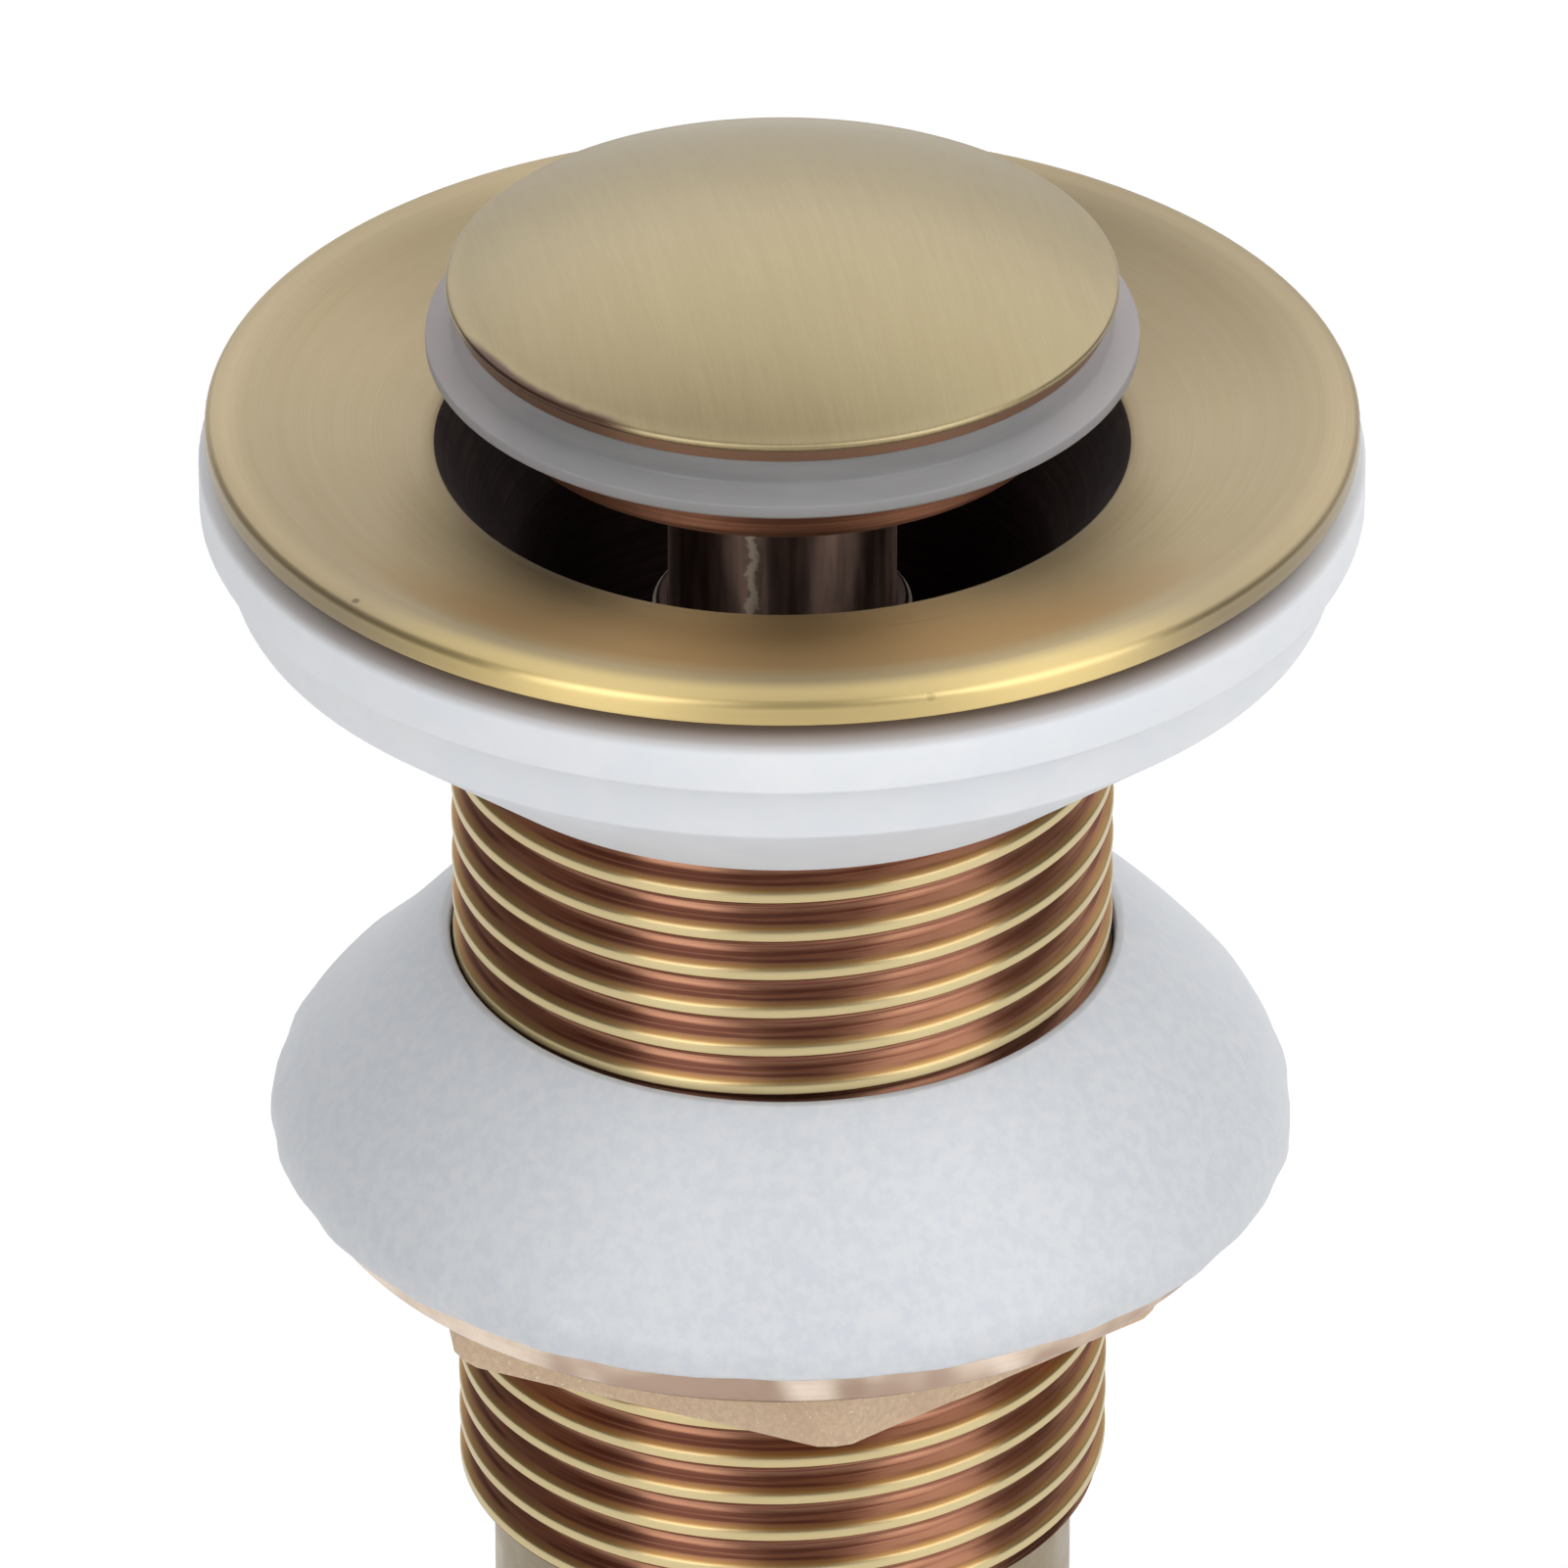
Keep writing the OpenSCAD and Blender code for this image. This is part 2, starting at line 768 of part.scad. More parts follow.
module back_nut() {
    nut_top_z = washer_z - face_gap;
    nut_flange_r = nut_flange_d / 2;
    color("#cdb497")
        difference() {
            union() {
                rotate_extrude()
                    polygon([
                        [shank_r, nut_flange_z],
                        [nut_flange_r - nut_edge, nut_flange_z],
                        [nut_flange_r, nut_flange_z + nut_edge],
                        [nut_flange_r, nut_top_z - nut_edge],
                        [nut_flange_r - nut_edge, nut_top_z],
                        [shank_r, nut_top_z]
                    ]);
                rotate(nut_angle)
                    hexagon(nut_af, nut_corner_r, nut_z, nut_flange_z);
            }
            hole(nut_bore_r, nut_z, nut_top_z);
        }
}

waste_body();
bridge();
gland_bush();
cartridge_casing();
guide_pins();
cartridge_stud();
height_nut();
return_spring();
basin_gasket();
tail_ring();
tail_pipe();
plug_cap();
plug_seal();
plug_base();
cap_stud();
push_barrel();
thrust_washer();
latch_drum();
lower_washer();
back_nut();
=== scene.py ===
import json
import math
from functools import cached_property

import bmesh
import bpy
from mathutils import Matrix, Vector


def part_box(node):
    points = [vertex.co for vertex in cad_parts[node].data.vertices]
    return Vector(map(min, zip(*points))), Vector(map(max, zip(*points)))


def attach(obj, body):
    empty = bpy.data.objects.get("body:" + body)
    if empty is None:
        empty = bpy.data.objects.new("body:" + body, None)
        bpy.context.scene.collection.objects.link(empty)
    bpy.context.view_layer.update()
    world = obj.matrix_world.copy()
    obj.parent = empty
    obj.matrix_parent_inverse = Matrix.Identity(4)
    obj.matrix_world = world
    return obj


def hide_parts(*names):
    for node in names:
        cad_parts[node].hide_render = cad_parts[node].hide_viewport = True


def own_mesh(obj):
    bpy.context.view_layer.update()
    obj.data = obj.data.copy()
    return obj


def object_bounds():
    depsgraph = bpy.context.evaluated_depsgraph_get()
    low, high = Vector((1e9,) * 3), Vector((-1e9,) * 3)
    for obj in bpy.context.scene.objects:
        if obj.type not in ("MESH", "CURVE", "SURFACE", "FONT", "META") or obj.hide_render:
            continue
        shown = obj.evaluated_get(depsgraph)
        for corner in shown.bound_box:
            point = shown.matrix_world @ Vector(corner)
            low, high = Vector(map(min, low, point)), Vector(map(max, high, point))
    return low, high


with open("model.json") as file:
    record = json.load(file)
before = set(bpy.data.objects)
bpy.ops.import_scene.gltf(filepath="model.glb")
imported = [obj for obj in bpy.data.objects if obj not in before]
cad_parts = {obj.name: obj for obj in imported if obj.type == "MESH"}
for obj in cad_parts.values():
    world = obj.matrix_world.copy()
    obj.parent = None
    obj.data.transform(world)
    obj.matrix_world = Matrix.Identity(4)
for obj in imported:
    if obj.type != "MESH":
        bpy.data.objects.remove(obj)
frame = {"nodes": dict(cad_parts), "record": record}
CAD_BOX = [list(map(float, corner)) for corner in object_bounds()]

bl_info = {
    "name": "Pop up basin waste",
    "version": (1, 0, 0),
    "blender": (4, 5, 0),
    "location": "3D View > Sidebar > Waste",
    "description": "Dresses the packed pop up basin waste with turned, threaded and moulded pieces",
    "category": "Object",
}

MM = 0.001
TAU = 2 * math.pi
SIDES = 144
BARREL_SIDES = 96
WASHER_SIDES = 192
WIRE_SIDES = 12
STUD_HOLE_R = 3.03 * MM
SEAL_STEP = 0.4 * MM


def extent(node):
    """Outer radius, foot and top of a CAD node."""
    low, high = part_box(node)
    return high.x, low.z, high.z


def shade(red, green, blue):
    """Linear colour of an eight-bit display colour."""
    def linear(value):
        value /= 255
        return value / 12.92 if value <= 0.04045 else ((value + 0.055) / 1.055) ** 2.4
    return linear(red), linear(green), linear(blue)


def dim(tone, part):
    """Colour with only a part of its light."""
    return tuple(part * c for c in tone)


def number(**traits):
    """Maker of number properties that share these traits."""
    def make(name, description, default):
        return bpy.props.FloatProperty(name=name, description=description, default=default, **traits)
    return make


# Heights run along the waste's axis and may lie below the flange
length = number(min=0, subtype="DISTANCE", precision=5)
height = number(subtype="DISTANCE", precision=5)
angle = number(subtype="ANGLE")
share = number(min=0, max=1, subtype="FACTOR")
power = number(min=0, unit="POWER")


def colour(name, description, default):
    """Property for a linear colour."""
    return bpy.props.FloatVectorProperty(
        name=name, description=description, default=default, size=3, min=0, max=1, subtype="COLOR"
    )


def nut_lead():
    """Rise of the nut's thread in one turn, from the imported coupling."""
    for coupling in frame["record"]["behaviour"]["couplings"]:
        if coupling["joint"] == "washer_rise":
            return TAU * coupling["ratio"]
    raise RuntimeError("the packed record has no coupling for the lower washer")


class WasteBodySettings(bpy.types.PropertyGroup):
    hole_radius: length("Hole radius", "Radius of the hole in the flange", 19.7 * MM)
    hole_edge: height("Hole edge", "Height of the hole's edge", -0.4 * MM)
    crown_radius: length("Crown radius", "Radius of the gentle crown round the flange's rim", 8.0 * MM)
    crown_inset: length("Crown inset", "Distance of the crown's top from the flange's edge", 2.0 * MM)
    rim_edge: length("Rim edge", "Radius of the rim's upper edge", 0.5 * MM)
    land_radius: length("Land radius", "Radius at which the flat land under the rim starts", 30.5 * MM)
    seat: height("Seat", "Height at which the flange's underside meets the shank", -5.0 * MM)
    bore_radius: length("Bore radius", "Radius of the water way", 15.2 * MM)
    throat_foot: height("Throat foot", "Height at which the funnel meets the bore", -8.19 * MM)
    ledge_radius: length("Ledge radius", "Radius of the water way at the ledge under the bridge", 14.4 * MM)
    ledge_top: height("Ledge top", "Height of the ledge under the bridge", -58.25 * MM)
    socket_radius: length("Socket radius", "Radius of the socket for the tail", 15.75 * MM)
    socket_top: height("Socket top", "Height at which the socket for the tail stops", -70.2 * MM)
    thread_radius: length("Thread radius", "Radius over the thread's crests", 19.0 * MM)
    thread_top: height("Thread top", "Height at which the thread starts", -9.0 * MM)
    thread_end: height("Thread end", "Height at which the thread stops", -68.7 * MM)
    thread_lead: length("Thread lead", "Rise of the thread in one turn", nut_lead())
    thread_depth: length("Thread depth", "Depth of the thread's groove", 1.15 * MM)
    crest_height: height("Crest height", "Height of one crest at the front", -19.36 * MM)
    neck_radius: length("Neck radius", "Radius of the plain neck", 17.0 * MM)
    brass: colour("Brass", "Brushed antique brass of the flange", shade(183, 166, 131))
    brass_shade: colour("Dark brass", "Darker streaks in the flange's brass", shade(173, 154, 116))
    # Painted reflection: warm colour laid over the dish's front, standing in for the copper base reflected
    # there
    dish_painted_reflection: colour("Warm brass", "Warmer tarnish over the flange's front", shade(176, 138, 88))
    # Painted highlight: bright brass laid only along the front of the rim
    rim_painted_highlight: colour("Rim brass", "Bright brass along the front of the rim", shade(222, 198, 136))
    groove: colour("Groove", "Copper brown in the thread's groove", shade(186, 136, 108))
    groove_shade: colour("Dark groove", "Darker turning lines in the groove", shade(132, 86, 70))
    # Painted shadow: dark line laid under each crest, where the crest shades the groove
    groove_painted_shadow: colour("Groove line", "Dark maroon line under each crest", shade(86, 50, 42))
    crest: colour("Crest", "Worn pale brass on the thread's crests", shade(208, 190, 144))
    crest_edge: colour("Crest edge", "Yellow brass at the crests' upper edges", shade(190, 148, 92))
    bore: colour("Bore", "Dark brown inside the water way", shade(78, 58, 52))
    neck: colour("Neck", "Satin brass of the neck and the tail", shade(165, 148, 117))


class PlugSettings(bpy.types.PropertyGroup):
    cap_rim: height("Cap rim", "Height of the cap rim's underside", 9.35 * MM)
    cap_rim_thickness: length("Cap rim thickness", "Thickness of the cap's rounded rim", 0.5 * MM)
    cap_band_radius: length("Band radius", "Radius of the band under the cap's rim", 18.5 * MM)
    barrel_radius: length("Barrel radius", "Radius of the push barrel above its collar", 6.5 * MM)
    barrel_wall: length("Barrel wall", "Thickness of the push barrel's wall", 1.2 * MM)
    cap_brass: colour("Cap brass", "Brushed antique brass of the cap", shade(175, 159, 119))
    cap_shade: colour("Cap streaks", "Darker brush lines on the cap", shade(165, 148, 108))
    cap_worn: colour("Worn edge", "Brown that shows along the cap's edge", shade(92, 62, 42))
    cap_band: colour("Cap band", "Brown brass of the band under the cap's rim", shade(130, 96, 74))
    seal: colour("Seal", "Clear grey silicone of the lip seal", shade(187, 186, 186))
    # Painted light: paler seal laid at the left and right ends
    seal_ends_painted_light: colour("Seal ends", "Paler seal where more light comes through", shade(226, 216, 216))
    # Painted light: paler seal laid on the lip's side and the lower cone, where the lamps light it
    seal_lip_painted_light: colour("Seal lip", "Paler edge of the seal's lip", shade(206, 207, 210))
    base: colour("Base", "Copper brown of the disc under the seal", shade(176, 126, 102))
    barrel: colour("Barrel", "Dark bronze of the push barrel", shade(186, 154, 138))
    barrel_streak: colour("Barrel streak", "Bright streak down the barrel", shade(236, 216, 190))


class RubberSettings(bpy.types.PropertyGroup):
    gasket: colour("Gasket", "White rubber of the gasket", shade(238, 240, 242))
    gasket_shade: colour("Gasket mottle", "Blue-grey mottling of the gasket", shade(233, 236, 240))
    # Painted shade: brown-grey laid on the gasket just under the flange's rim, strongest at the front
    gasket_painted_shade: colour("Gasket soil", "Brown-grey that gathers under the rim", shade(136, 122, 114))
    washer: colour("Washer", "Milky silicone of the lower washer", shade(217, 219, 222))
    washer_shade: colour("Washer mottle", "Grey flecks of the washer", shade(209, 213, 218))
    washer_bore: length("Washer bore", "Radius of the washer's hole", 19.15 * MM)
    washer_rim: length("Washer rim", "Height of the washer's rim", 1.6 * MM)
    washer_bulge: length("Washer bulge", "How far the washer's flank bulges", 0.45 * MM)
    washer_wave: length("Washer wave", "How far the washer's cut rim wanders", 0.3 * MM)
    washer_dip: length("Washer dip", "How far the washer's flank has sunk at the back left", 1.1 * MM)
    washer_droop: length("Washer droop", "How far the washer's rim hangs at both sides", 0.7 * MM)


class NutSettings(bpy.types.PropertyGroup):
    flats: length("Flats", "Size of the nut across its flats", 41.0 * MM)
    corner_radius: length("Corner radius", "Radius of the nut over its corners", 23.22 * MM)
    flange_foot: height("Flange foot", "Height of the underside of the nut's flange", -47.6 * MM)
    corner_angle: angle("Corner angle", "Angle at which a corner of the nut stands", math.radians(37.5))
    polished: colour("Polished brass", "Turned brass of the nut's flange", shade(234, 216, 198))
    polished_shade: colour("Polished tarnish", "Duller stretches of the flange", shade(166, 140, 122))
    cast: colour("Cast brass", "Sand-cast brass of the nut's hexagon", shade(228, 206, 178))
    cast_shade: colour("Cast grain", "Darker grain of the cast brass", shade(210, 184, 156))


class StageSettings(bpy.types.PropertyGroup):
    floor: colour("Floor", "Pale floor under the waste", (0.8, 0.8, 0.8))
    floor_glow: share("Floor glow", "Light that lifts the floor to white for the eye", 0.31)
    world: colour("Surroundings", "Pale studio round the waste", (0.3, 0.3, 0.31))
    left_power: power("Left lamp", "Power of the tall soft lamp at the front left", 3.9)
    right_power: power("Right lamp", "Power of the tall soft lamp at the front right", 4.9)
    back_power: power("Back lamp", "Power of the wide soft lamp behind the waste", 6.5)
    low_power: power("Low lamp", "Power of the low strip lamp behind the waste", 1.5)
    side_fall: share("Side fall", "Share of the surroundings' light that is left at both sides", 0.3)


def settings(context, name):
    """One group of this waste's settings."""
    return getattr(context.scene, "waste_" + name)


def rounded(corners, steps=5):
    """Closed section with rounded corners.

    A corner is (radius, height, rounding), and may add a zone, which holds from it on.
    """
    nearly_straight = math.radians(88)
    points = []
    for i, corner in enumerate(corners):
        r, z, rounding, zone = (*corner, 0)[:4]
        here = Vector((r, z))
        before = Vector(corners[i - 1][:2]) - here
        after = Vector(corners[(i + 1) % len(corners)][:2]) - here
        half = before.angle(after) / 2
        if rounding <= 0 or half > nearly_straight:
            points.append((r, z, zone))
            continue
        reach = min(rounding / math.tan(half), 0.48 * before.length, 0.48 * after.length)
        radius = reach * math.tan(half)
        before.normalize()
        after.normalize()
        centre = here + (before + after).normalized() * (radius / math.sin(half))
        start = here + before * reach - centre
        stop = here + after * reach - centre
        sweep = start.angle(stop)
        for k in range(steps + 1):
            t = k / steps
            offset = (start * math.sin((1 - t) * sweep) + stop * math.sin(t * sweep)) / math.sin(sweep)
            points.append((*(centre + offset), zone))
    return points


def arc(centre, radius, start, stop, steps, zone):
    """Points of a circle's arc in the section, from one angle to another."""
    points = []
    for k in range(steps + 1):
        way = start + (stop - start) * k / steps
        points.append((centre[0] + radius * math.cos(way), centre[1] + radius * math.sin(way), zone))
    return points


def turn(bm, section, sides=SIDES, shape=None, skip=()):
    """Revolves a closed section about the waste's axis without the zones in skip; returns its rings."""
    on_axis = 1e-7
    rings = []
    for r, z, _ in section:
        ring = []
        for c in range(sides if r > on_axis else 1):
            way = TAU * c / sides
            radius, rise = shape(way, r, z) if shape else (r, z)
            ring.append(bm.verts.new((radius * math.cos(way), radius * math.sin(way), rise)))
        rings.append(ring)
    for i, (_, _, zone) in enumerate(section):
        here, there = rings[i], rings[(i + 1) % len(rings)]
        if zone in skip or len(here) == len(there) == 1:
            continue
        for c in range(sides):
            after = (c + 1) % sides
            around = ((here, c), (here, after), (there, after), (there, c))
            corners = [ring[k % len(ring)] for ring, k in around]
            bm.faces.new(list(dict.fromkeys(corners))).material_index = zone
    return rings


def finished(bm, name, materials, sharp=35):
    """Closes a mesh into a new object with smooth faces and these materials by zone."""
    bmesh.ops.recalc_face_normals(bm, faces=bm.faces)
    mesh = bpy.data.meshes.new(name)
    bm.to_mesh(mesh)
    bm.free()
    for face in mesh.polygons:
        face.use_smooth = True
    mesh.set_sharp_from_angle(angle=math.radians(sharp))
    for material in materials:
        mesh.materials.append(material)
    piece = bpy.data.objects.new(name, mesh)
    bpy.context.scene.collection.objects.link(piece)
    return piece


def place(piece, body, slot, *nodes):
    """Lets a piece ride on its body in place of its CAD nodes."""
    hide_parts(*nodes)
    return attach(piece, body)


def turned_piece(name, section, finishes, body, slot, node, sides=SIDES, shape=None, sharp=35):
    """Makes a piece by turning a section, and places it."""
    bm = bmesh.new()
    turn(bm, section, sides, shape)
    place(finished(bm, name, finishes, sharp), body, slot, node)


class NodeMaker:
    """Adds nodes to a tree."""

    def __init__(self, tree):
        self.tree = tree

    def node(self, kind, inputs=None, **options):
        """Adds a shader node with its options, its constants and its links."""
        node = self.tree.nodes.new("ShaderNode" + kind)
        for option, value in options.items():
            setattr(node, option, value)
        for socket, value in (inputs or {}).items():
            if isinstance(value, bpy.types.NodeSocket):
                self.tree.links.new(value, node.inputs[socket])
            else:
                node.inputs[socket].default_value = value
        return node

    def math(self, operation, first, second=0.0):
        """Value of one sum of two values."""
        return self.node("Math", {0: first, 1: second}, operation=operation).outputs[0]

    def times(self, first, second):
        """Product of two values."""
        return self.math("MULTIPLY", first, second)

    def plus(self, first, second):
        """Sum of two values."""
        return self.math("ADD", first, second)

    def minus(self, first, second):
        """Difference of two values."""
        return self.math("SUBTRACT", first, second)


class Finish(NodeMaker):
    """A material being made: colours are laid over its first tone, and values join its shader."""

    def __init__(self, name, tone=None, **constants):
        self.material = bpy.data.materials.new(name)
        self.material.use_nodes = True
        super().__init__(self.material.node_tree)
        self.tone = tone
        self.shader = self.tree.nodes["Principled BSDF"]
        for socket, value in constants.items():
            self.shader.inputs[socket.replace("_", " ")].default_value = value

    @cached_property
    def mm(self):
        """Spot on the piece, in millimetres."""
        spot = self.node("TexCoord").outputs["Object"]
        return self.node("VectorMath", {"Vector": spot, "Scale": 1 / MM}, operation="SCALE").outputs["Vector"]

    def along(self, axis):
        """Distance along one axis, in millimetres."""
        return self.node("SeparateXYZ", {0: self.mm}).outputs[axis]

    def outward(self):
        """Way out from the waste's axis, in millimetres."""
        return self.node("VectorMath", {0: self.mm, 1: (1, 1, 0)}, operation="MULTIPLY").outputs[0]

    def radius(self):
        """Distance from the waste's axis, in millimetres."""
        return self.node("VectorMath", {0: self.outward()}, operation="LENGTH").outputs["Value"]

    def around(self):
        """Turn about the waste's axis from its front, from -0.5 to 0.5."""
        way = self.math("ARCTAN2", self.along("X"), self.times(self.along("Y"), -1.0))
        return self.times(way, 1 / TAU)

    def brushed(self, slant, across, along):
        """Coordinates that change fast across straight brush lines at a slant."""
        scale = (1 / across, 1 / along, 1 / along)
        inputs = {"Vector": self.mm, "Rotation": (0, 0, slant), "Scale": scale}
        return self.node("Mapping", inputs, vector_type="TEXTURE").outputs[0]

    def noise(self, vector, scale=1.0, detail=3.0, rough=0.55):
        """Soft noise from 0 to 1."""
        inputs = {"Vector": vector, "Scale": scale, "Detail": detail, "Roughness": rough}
        return self.node("TexNoise", inputs).outputs["Fac"]

    def cloud(self, scale, detail=3.0, rough=0.55):
        """Soft noise that is alike in all directions."""
        return self.noise(self.mm, scale, detail, rough)

    def turning(self, across, around, detail=3.0, rough=0.55):
        """Noise that changes fast across the turning lines and slowly around the axis."""
        way = self.node("VectorMath", {0: self.outward()}, operation="NORMALIZE").outputs[0]
        parts = self.node("SeparateXYZ", {0: way}).outputs
        rings = self.node("CombineXYZ", {
            "X": self.plus(self.times(self.radius(), across), self.times(self.along("Z"), across)),
            "Y": self.times(parts["X"], around),
            "Z": self.times(parts["Y"], around),
        }).outputs[0]
        return self.noise(rings, 1.0, detail, rough)

    def wander(self, noise, reach):
        """Noise carried to both sides of nought."""
        return self.times(self.minus(noise, 0.5), reach)

    def range(self, value, start, stop, low=0.0, high=1.0):
        """Value carried from one range to another, with soft ends."""
        inputs = {"Value": value, "From Min": start, "From Max": stop, "To Min": low, "To Max": high}
        return self.node("MapRange", inputs, interpolation_type="SMOOTHSTEP").outputs["Result"]

    def band(self, value, start, full, fall, stop):
        """Mask that rises from start to full and falls again from fall to stop."""
        return self.times(self.range(value, start, full), self.range(value, stop, fall))

    def pits(self, scale, size):
        """Mask of small pits in a few scattered cells."""
        cells = self.node("TexVoronoi", {"Vector": self.mm, "Scale": scale}).outputs
        lot = self.node("SeparateColor", {0: cells["Color"]}).outputs[0]
        return self.times(self.range(lot, 0.86, 0.9), self.range(cells["Distance"], size, size * 0.4))

    def blend(self, amount, first, second):
        """Colour between two colours."""
        inputs = {0: amount}
        for socket, tone in ((6, first), (7, second)):
            inputs[socket] = tone if isinstance(tone, bpy.types.NodeSocket) else (*tone, 1)
        return self.node("Mix", inputs, data_type="RGBA").outputs[2]

    def lay(self, tone, amount):
        """Lays a colour over those before it."""
        self.tone = self.blend(amount, self.tone, tone)

    def cover(self, tone, value, start=0.3, stop=0.7, most=1.0):
        """Lays on a colour that thickens as a value goes from start to stop."""
        self.lay(tone, self.range(value, start, stop, 0, most))

    def streak(self, tone, fine, wide):
        """Lays on a colour in fine streaks and some wide ones."""
        self.cover(tone, self.plus(self.times(fine, 0.75), self.times(wide, 0.25)), 0.34, 0.66)

    def join(self, socket, value):
        """Joins a value to the shader."""
        self.tree.links.new(value, self.shader.inputs[socket])

    def roughen(self, value, low, high, start=0.3, stop=0.7):
        """Lets the roughness follow a value that goes from start to stop."""
        self.join("Roughness", self.range(value, start, stop, low, high))

    def bump(self, relief, strength, depth):
        """Small relief on the surface, its depth in millimetres."""
        bump = self.node("Bump", {"Height": relief, "Strength": strength, "Distance": depth * MM})
        self.join("Normal", bump.outputs[0])

    def lathe_grain(self, stretch):
        """Stretches the gloss across the turning lines."""
        self.shader.inputs["Anisotropic"].default_value = stretch
        self.shader.inputs["Anisotropic Rotation"].default_value = 0.25
        self.join("Tangent", self.node("Tangent", direction_type="RADIAL", axis="Z").outputs[0])

    def done(self):
        """Material with all its colours on."""
        self.join("Base Color", self.tone)
        return self.material


# Small dents along the front of the rim: spot in millimetres, and how dark each one is
RIM_DENTS = (((-23.5, -21.6, 1.4), 0.9), ((8.1, -31.5, 1.3), 0.3))
# Way from the cap's middle to its unworn side
UNWORN_WAY = (0.743, 0.669)


def ring_brushed_brass(body):
    """Antique brass with fine rings left by the brush, a polished rim, a painted highlight along the rim's
    front and a painted reflection over the dish's front.
    """
    finish = Finish(
        "ring_brushed_brass", body.brass_shade, Metallic=1.0, Coat_Weight=0.4, Coat_Roughness=0.25,
    )
    fine = finish.turning(12.0, 1.3, 4, 0.65)
    finish.streak(body.brass, fine, finish.turning(1.5, 0.9, 2))
    finish.cover(body.brass_shade, finish.cloud(0.2, 4), 0.4, 0.75, 0.3)
    front = finish.along("Y")
    dish = finish.range(finish.radius(), 30.5, 28.0)
    # Painted reflection of the copper base, laid over the front of the dish
    finish.lay(body.dish_painted_reflection, finish.times(finish.range(front, -13.0, -24.0, 0, 0.65), dish))
    # The rim's front gets a painted highlight below; the rim's lower roughness is its real polish
    rim = finish.range(finish.radius(), 30.2, 31.6)
    finish.lay(body.rim_painted_highlight, finish.times(rim, finish.range(front, -21.0, -29.0)))
    pits = finish.pits(0.1, 0.035)
    for spot, dark in RIM_DENTS:
        away = finish.node("VectorMath", {0: finish.mm, 1: spot}, operation="DISTANCE").outputs["Value"]
        pits = finish.math("MAXIMUM", pits, finish.range(away, 0.34, 0.16, 0, dark))
    finish.lay((0.1, 0.07, 0.04), finish.times(pits, 0.8))
    grain = finish.range(fine, 0.3, 0.75, 0.45, 0.52)
    gloss = finish.times(rim, finish.range(finish.along("Z"), 0.7, 1.2, 0, 0.08))
    finish.join("Roughness", finish.minus(grain, gloss))
    finish.bump(finish.minus(fine, finish.times(pits, 4.0)), 0.12, 0.02)
    finish.lathe_grain(0.92)
    return finish.done()


def bore_brown(body):
    """Dull dark brown of the wet inside."""
    finish = Finish("bore_brown", dim(body.bore, 0.45), Metallic=0.5)
    lines = finish.turning(5.0, 1.2)
    stain = finish.cloud(0.3, 5, 0.6)
    finish.cover(body.bore, lines)
    finish.cover((0.012, 0.009, 0.007), stain, 0.45, 0.7, 0.5)
    finish.roughen(stain, 0.6, 0.7)
    finish.bump(lines, 0.3, 0.02)
    finish.lathe_grain(0.6)
    return finish.done()


def thread_copper(body):
    """Copper brown thread whose crests are worn to pale brass; its bands follow the helix."""
    finish = Finish("thread_copper", body.groove_shade, Metallic=1.0)
    climb = finish.minus(finish.along("Z"), body.crest_height / MM)
    phase = finish.minus(finish.math("DIVIDE", climb, body.thread_lead / MM), finish.around())
    phase = finish.math("FRACT", finish.plus(phase, 0.5))
    lines = finish.node("CombineXYZ", {
        "X": finish.times(phase, 10.0),
        "Y": finish.times(finish.along("X"), 0.07),
        "Z": finish.times(finish.along("Y"), 0.07),
    }).outputs[0]
    fine = finish.noise(lines, 1.0, 2, 0.6)
    finish.cover(body.groove, fine, 0.4, 0.58)
    finish.cover(body.groove_shade, finish.cloud(0.22, 4), 0.4, 0.75, 0.25)
    spot = finish.plus(phase, finish.wander(fine, 0.02))
    # Painted shadow under each crest
    finish.lay(body.groove_painted_shadow, finish.band(spot, 0.24, 0.29, 0.36, 0.38))
    finish.lay(body.crest_edge, finish.band(spot, 0.36, 0.375, 0.63, 0.74))
    worn = finish.band(spot, 0.37, 0.385, 0.57, 0.66)
    finish.lay(body.crest, worn)
    finish.roughen(worn, 0.36, 0.3, 0, 1)
    finish.bump(fine, 0.35, 0.02)
    finish.lathe_grain(0.92)
    return finish.done()


def satin_brass(body):
    """Pale satin brass with fine turning lines."""
    finish = Finish("satin_brass", dim(body.neck, 0.84), Metallic=1.0)
    fine = finish.turning(7.0, 1.5, 4, 0.65)
    mottle = finish.cloud(0.3, 4)
    finish.cover(body.neck, fine)
    finish.cover(shade(150, 132, 92), mottle, 0.4, 0.8, 0.3)
    finish.roughen(mottle, 0.3, 0.42)
    finish.bump(fine, 0.3, 0.015)
    finish.lathe_grain(0.8)
    return finish.done()


